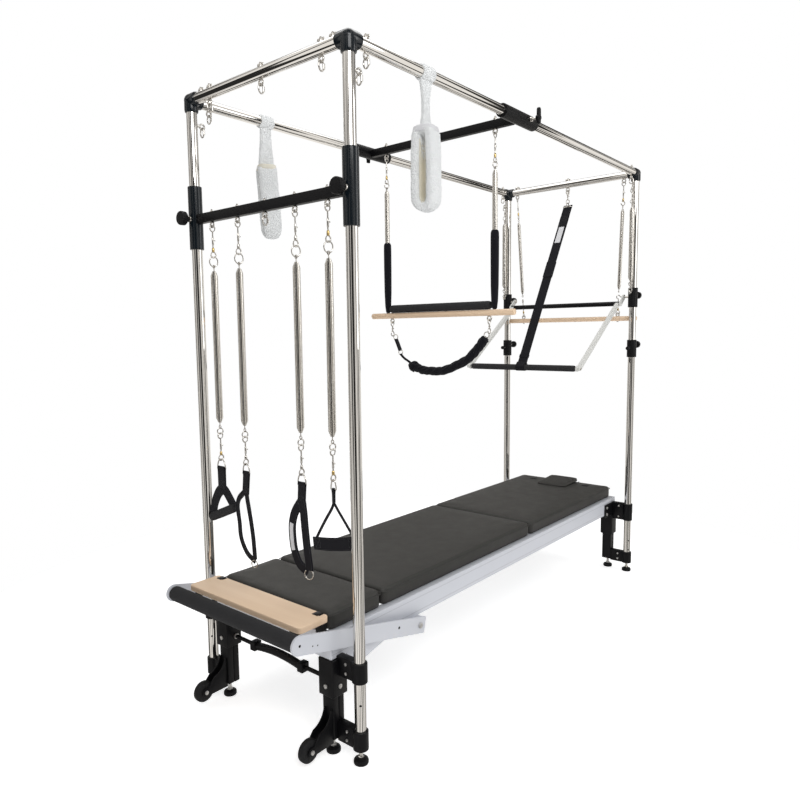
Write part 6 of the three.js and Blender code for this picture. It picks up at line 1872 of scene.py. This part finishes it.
def leg_blank(end, x, out, side):
    blank = Blank()
    x0, x1 = sorted((x - out * LEG_IN, x + out * LEG_OUT))
    y0, y1 = sorted((side * LEG_Y[0], side * LEG_Y[1]))
    middle = (x0 + x1) / 2
    blank.block((x0, y0, LEG_LOW), (middle - 0.0006, y1, LEG_TOP), 0.003, 3)
    blank.block((middle + 0.0006, y0, LEG_LOW), (x1, y1, LEG_TOP), 0.003, 3)
    blank.block((x0 + 0.003, y0 + 0.003, LEG_LOW + 0.001), (x1 - 0.003, y1 - 0.003, LEG_TOP), 0)
    extra = HEAD_EXTRA
    blank.block((x0 - extra, y0 - extra, LEG_HEAD), (x1 + extra, y1 + extra, LEG_TOP), 0.003, 3)
    y = side * POST_Y
    leg_y, post_y = side * (LEG_Y[1] - 0.001), y - side * (TUBE_R + 0.002)
    for low, high in CLAMPS[end]:
        blank.sleeve((x, y, low), UP, high - low, CLAMP_R, sides=40)
        blank.block((x - CLAMP_HALF, leg_y, low), (x + CLAMP_HALF, post_y, high), 0.0018)
    if end == "far":
        blank.block((NEAR_X + 2.010, side * 0.2903, 0.300), (NEAR_X + 2.140, side * 0.2973, 0.370), 0.0025, 3)
    else:
        root = x + out * LEG_OUT + 0.002
        cheek = [(root, 0.150), (root, WHEEL_Z - 0.014)] + arc((WHEEL_X, WHEEL_Z), 0.015, 270, 60, 12)
        cheek += arc((WHEEL_X + 0.020, 0.158), 0.062, -76, -8, 10)
        for way in (-1, 1):
            blank.plate(cheek, side * WHEEL_Y + way * 0.0133, side * WHEEL_Y + way * 0.0173, "y", 0.0008)
    return blank


for end, (x, out) in ENDS.items():
    for side_name, side in SIDES.items():
        label = f"leg_{end}_{side_name}"
        piece(label, leg_blank(end, x, out, side), black_coat, "root", SAME)
        foot, bolts = Blank(), Blank()
        fx, fy = x + out * 0.010, side * 0.266
        foot.turned((fx, fy, 0), UP, FOOT_PROFILE, 40)
        bolts.rod((fx, fy, 0.015), (fx, fy, LEG_LOW + 0.002), 0.006, 20)
        bolts.disc((fx, fy, 0.0178), UP, 0.007, 0.0100, 6, 0.0006)
        piece(f"{label}_foot", foot, black_plastic, "root")
        for low, high in CLAMPS[end]:
            for z in (low + 0.016, high - 0.016):
                bolts.turned((x - 0.0138, side * 0.330, z), OUTWARD, CAP_BOLT, 18)
        if end == "far":
            for bolt_x in (2.028, 2.122):
                for z in (0.318, 0.352):
                    bolts.turned((NEAR_X + bolt_x, side * 0.2970, z), (0, side, 0), PLATE_BOLT, 24)
        else:
            face_x, face_y = LEG_OUT + HEAD_EXTRA - 0.0003, LEG_Y[1] + HEAD_EXTRA - 0.0003
            bolts.turned((x + out * face_x, fy, HEAD_BOLT_Z), (out, 0, 0), HEAD_BOLT, 24)
            bolts.turned((x + out * 0.008, side * face_y, HEAD_BOLT_Z), (0, side, 0), HEAD_BOLT, 24)
            wheel_y = side * WHEEL_Y
            for way in (-1, 1):
                bolts.turned((WHEEL_X, wheel_y + way * 0.0168, WHEEL_Z), (0, way, 0), AXLE_BOLT, 24)
            bolts.rod((WHEEL_X, wheel_y - 0.016, WHEEL_Z), (WHEEL_X, wheel_y + 0.016, WHEEL_Z), 0.004, 18)
        piece(f"{label}_bolts", bolts, zinc, "root")
print("legs")

# %% Wheels and tie tube
TYRE = [(0, 0.027), (0.001, 0.032), (0.004, 0.0353), (0.008, 0.036)]
SPOKES = [Vector((math.cos(a), 0, math.sin(a))) for a in (2 * math.pi * k / 12 for k in range(12))]
TIE_Z, TIE_ARCH, TIE_SPAN, HINGE = 0.225, 0.010, 0.112, 0.016

for side_name, side in SIDES.items():
    tyre, hub = Blank(), Blank()
    centre = Vector((WHEEL_X, side * WHEEL_Y, WHEEL_Z))
    tyre.turned(centre - LEFTWARD * 0.012, LEFTWARD, mirrored(TYRE, 0.024), 56)
    for way in (-1, 1):
        hub.disc(centre + LEFTWARD * way * 0.0118, (0, way, 0), 0.0010, 0.0115, 32)
        face = centre + LEFTWARD * way * 0.0117
        for spoke in SPOKES:
            hub.bar([face + spoke * 0.011, face + spoke * 0.026], 0.0011, 8)
    body = f"wheel_{side_name}"
    piece(f"transport_wheel_{side_name}", tyre, tyre_rubber, body, SAME)
    piece(f"wheel_hub_{side_name}", hub, black_plastic, body)

tie, nuts = Blank(), Blank()
arch = [(NEAR_X, y, TIE_Z - 0.002 + TIE_ARCH * (1 - (y / TIE_SPAN) ** 2))
        for y in np.linspace(-TIE_SPAN, TIE_SPAN, 17)]
tie.bar(arch, 0.0135, 24)
tie.rod((NEAR_X, -0.234, TIE_Z), (NEAR_X, 0.234, TIE_Z), 0.007, 24)
for side in SIDES.values():
    corner = Vector((NEAR_X - HINGE, side * 0.108, TIE_Z - HINGE))
    tie.block(corner, corner + Vector((2 * HINGE, side * 0.026, 2 * HINGE)), 0.003, 3)
    nuts.disc((NEAR_X, side * 0.2345, TIE_Z), (0, -side, 0), 0.007, 0.0105, 6, 0.0006)
piece("tie_tube", tie, black_coat, "root", SAME)
piece("tie_tube_nuts", nuts, zinc, "root")
print("wheels and tie tube")

# %% [markdown]
# ## Floor
# A round white floor lies under the table and melts into the white surround. It isn't part of the
# object.

# %% Floor
FLOOR_R, FLOOR_GLOW = 2.3, {"Emission_Color": (1, 1, 1, 1), "Emission_Strength": 0.62}
studio = Finish("studio_floor", Specular_IOR_Level=0.2, **FLOOR_GLOW)
studio.feed(Base_Color=studio.blend(studio.noise(1.6, 5.0), (0.93, 0.93, 0.93), (0.97, 0.97, 0.97)))
studio.feed(Roughness=0.55 + 0.2 * studio.noise(7.0, 5.0))
floor = bpy.data.objects.new("floor", mesh_of("floor", Blank().disc((0, 0, -0.02), UP, 0.0196, FLOOR_R, 96)))
floor.data.materials.append(studio.material)
SCENE.collection.objects.link(floor)
floor.visible_glossy = False
print("floor")

# %% Finish
triangles = sum(len(p.vertices) - 2 for obj in PIECES for p in obj.data.polygons)
print(len(PIECES), "pieces,", triangles, "triangles")
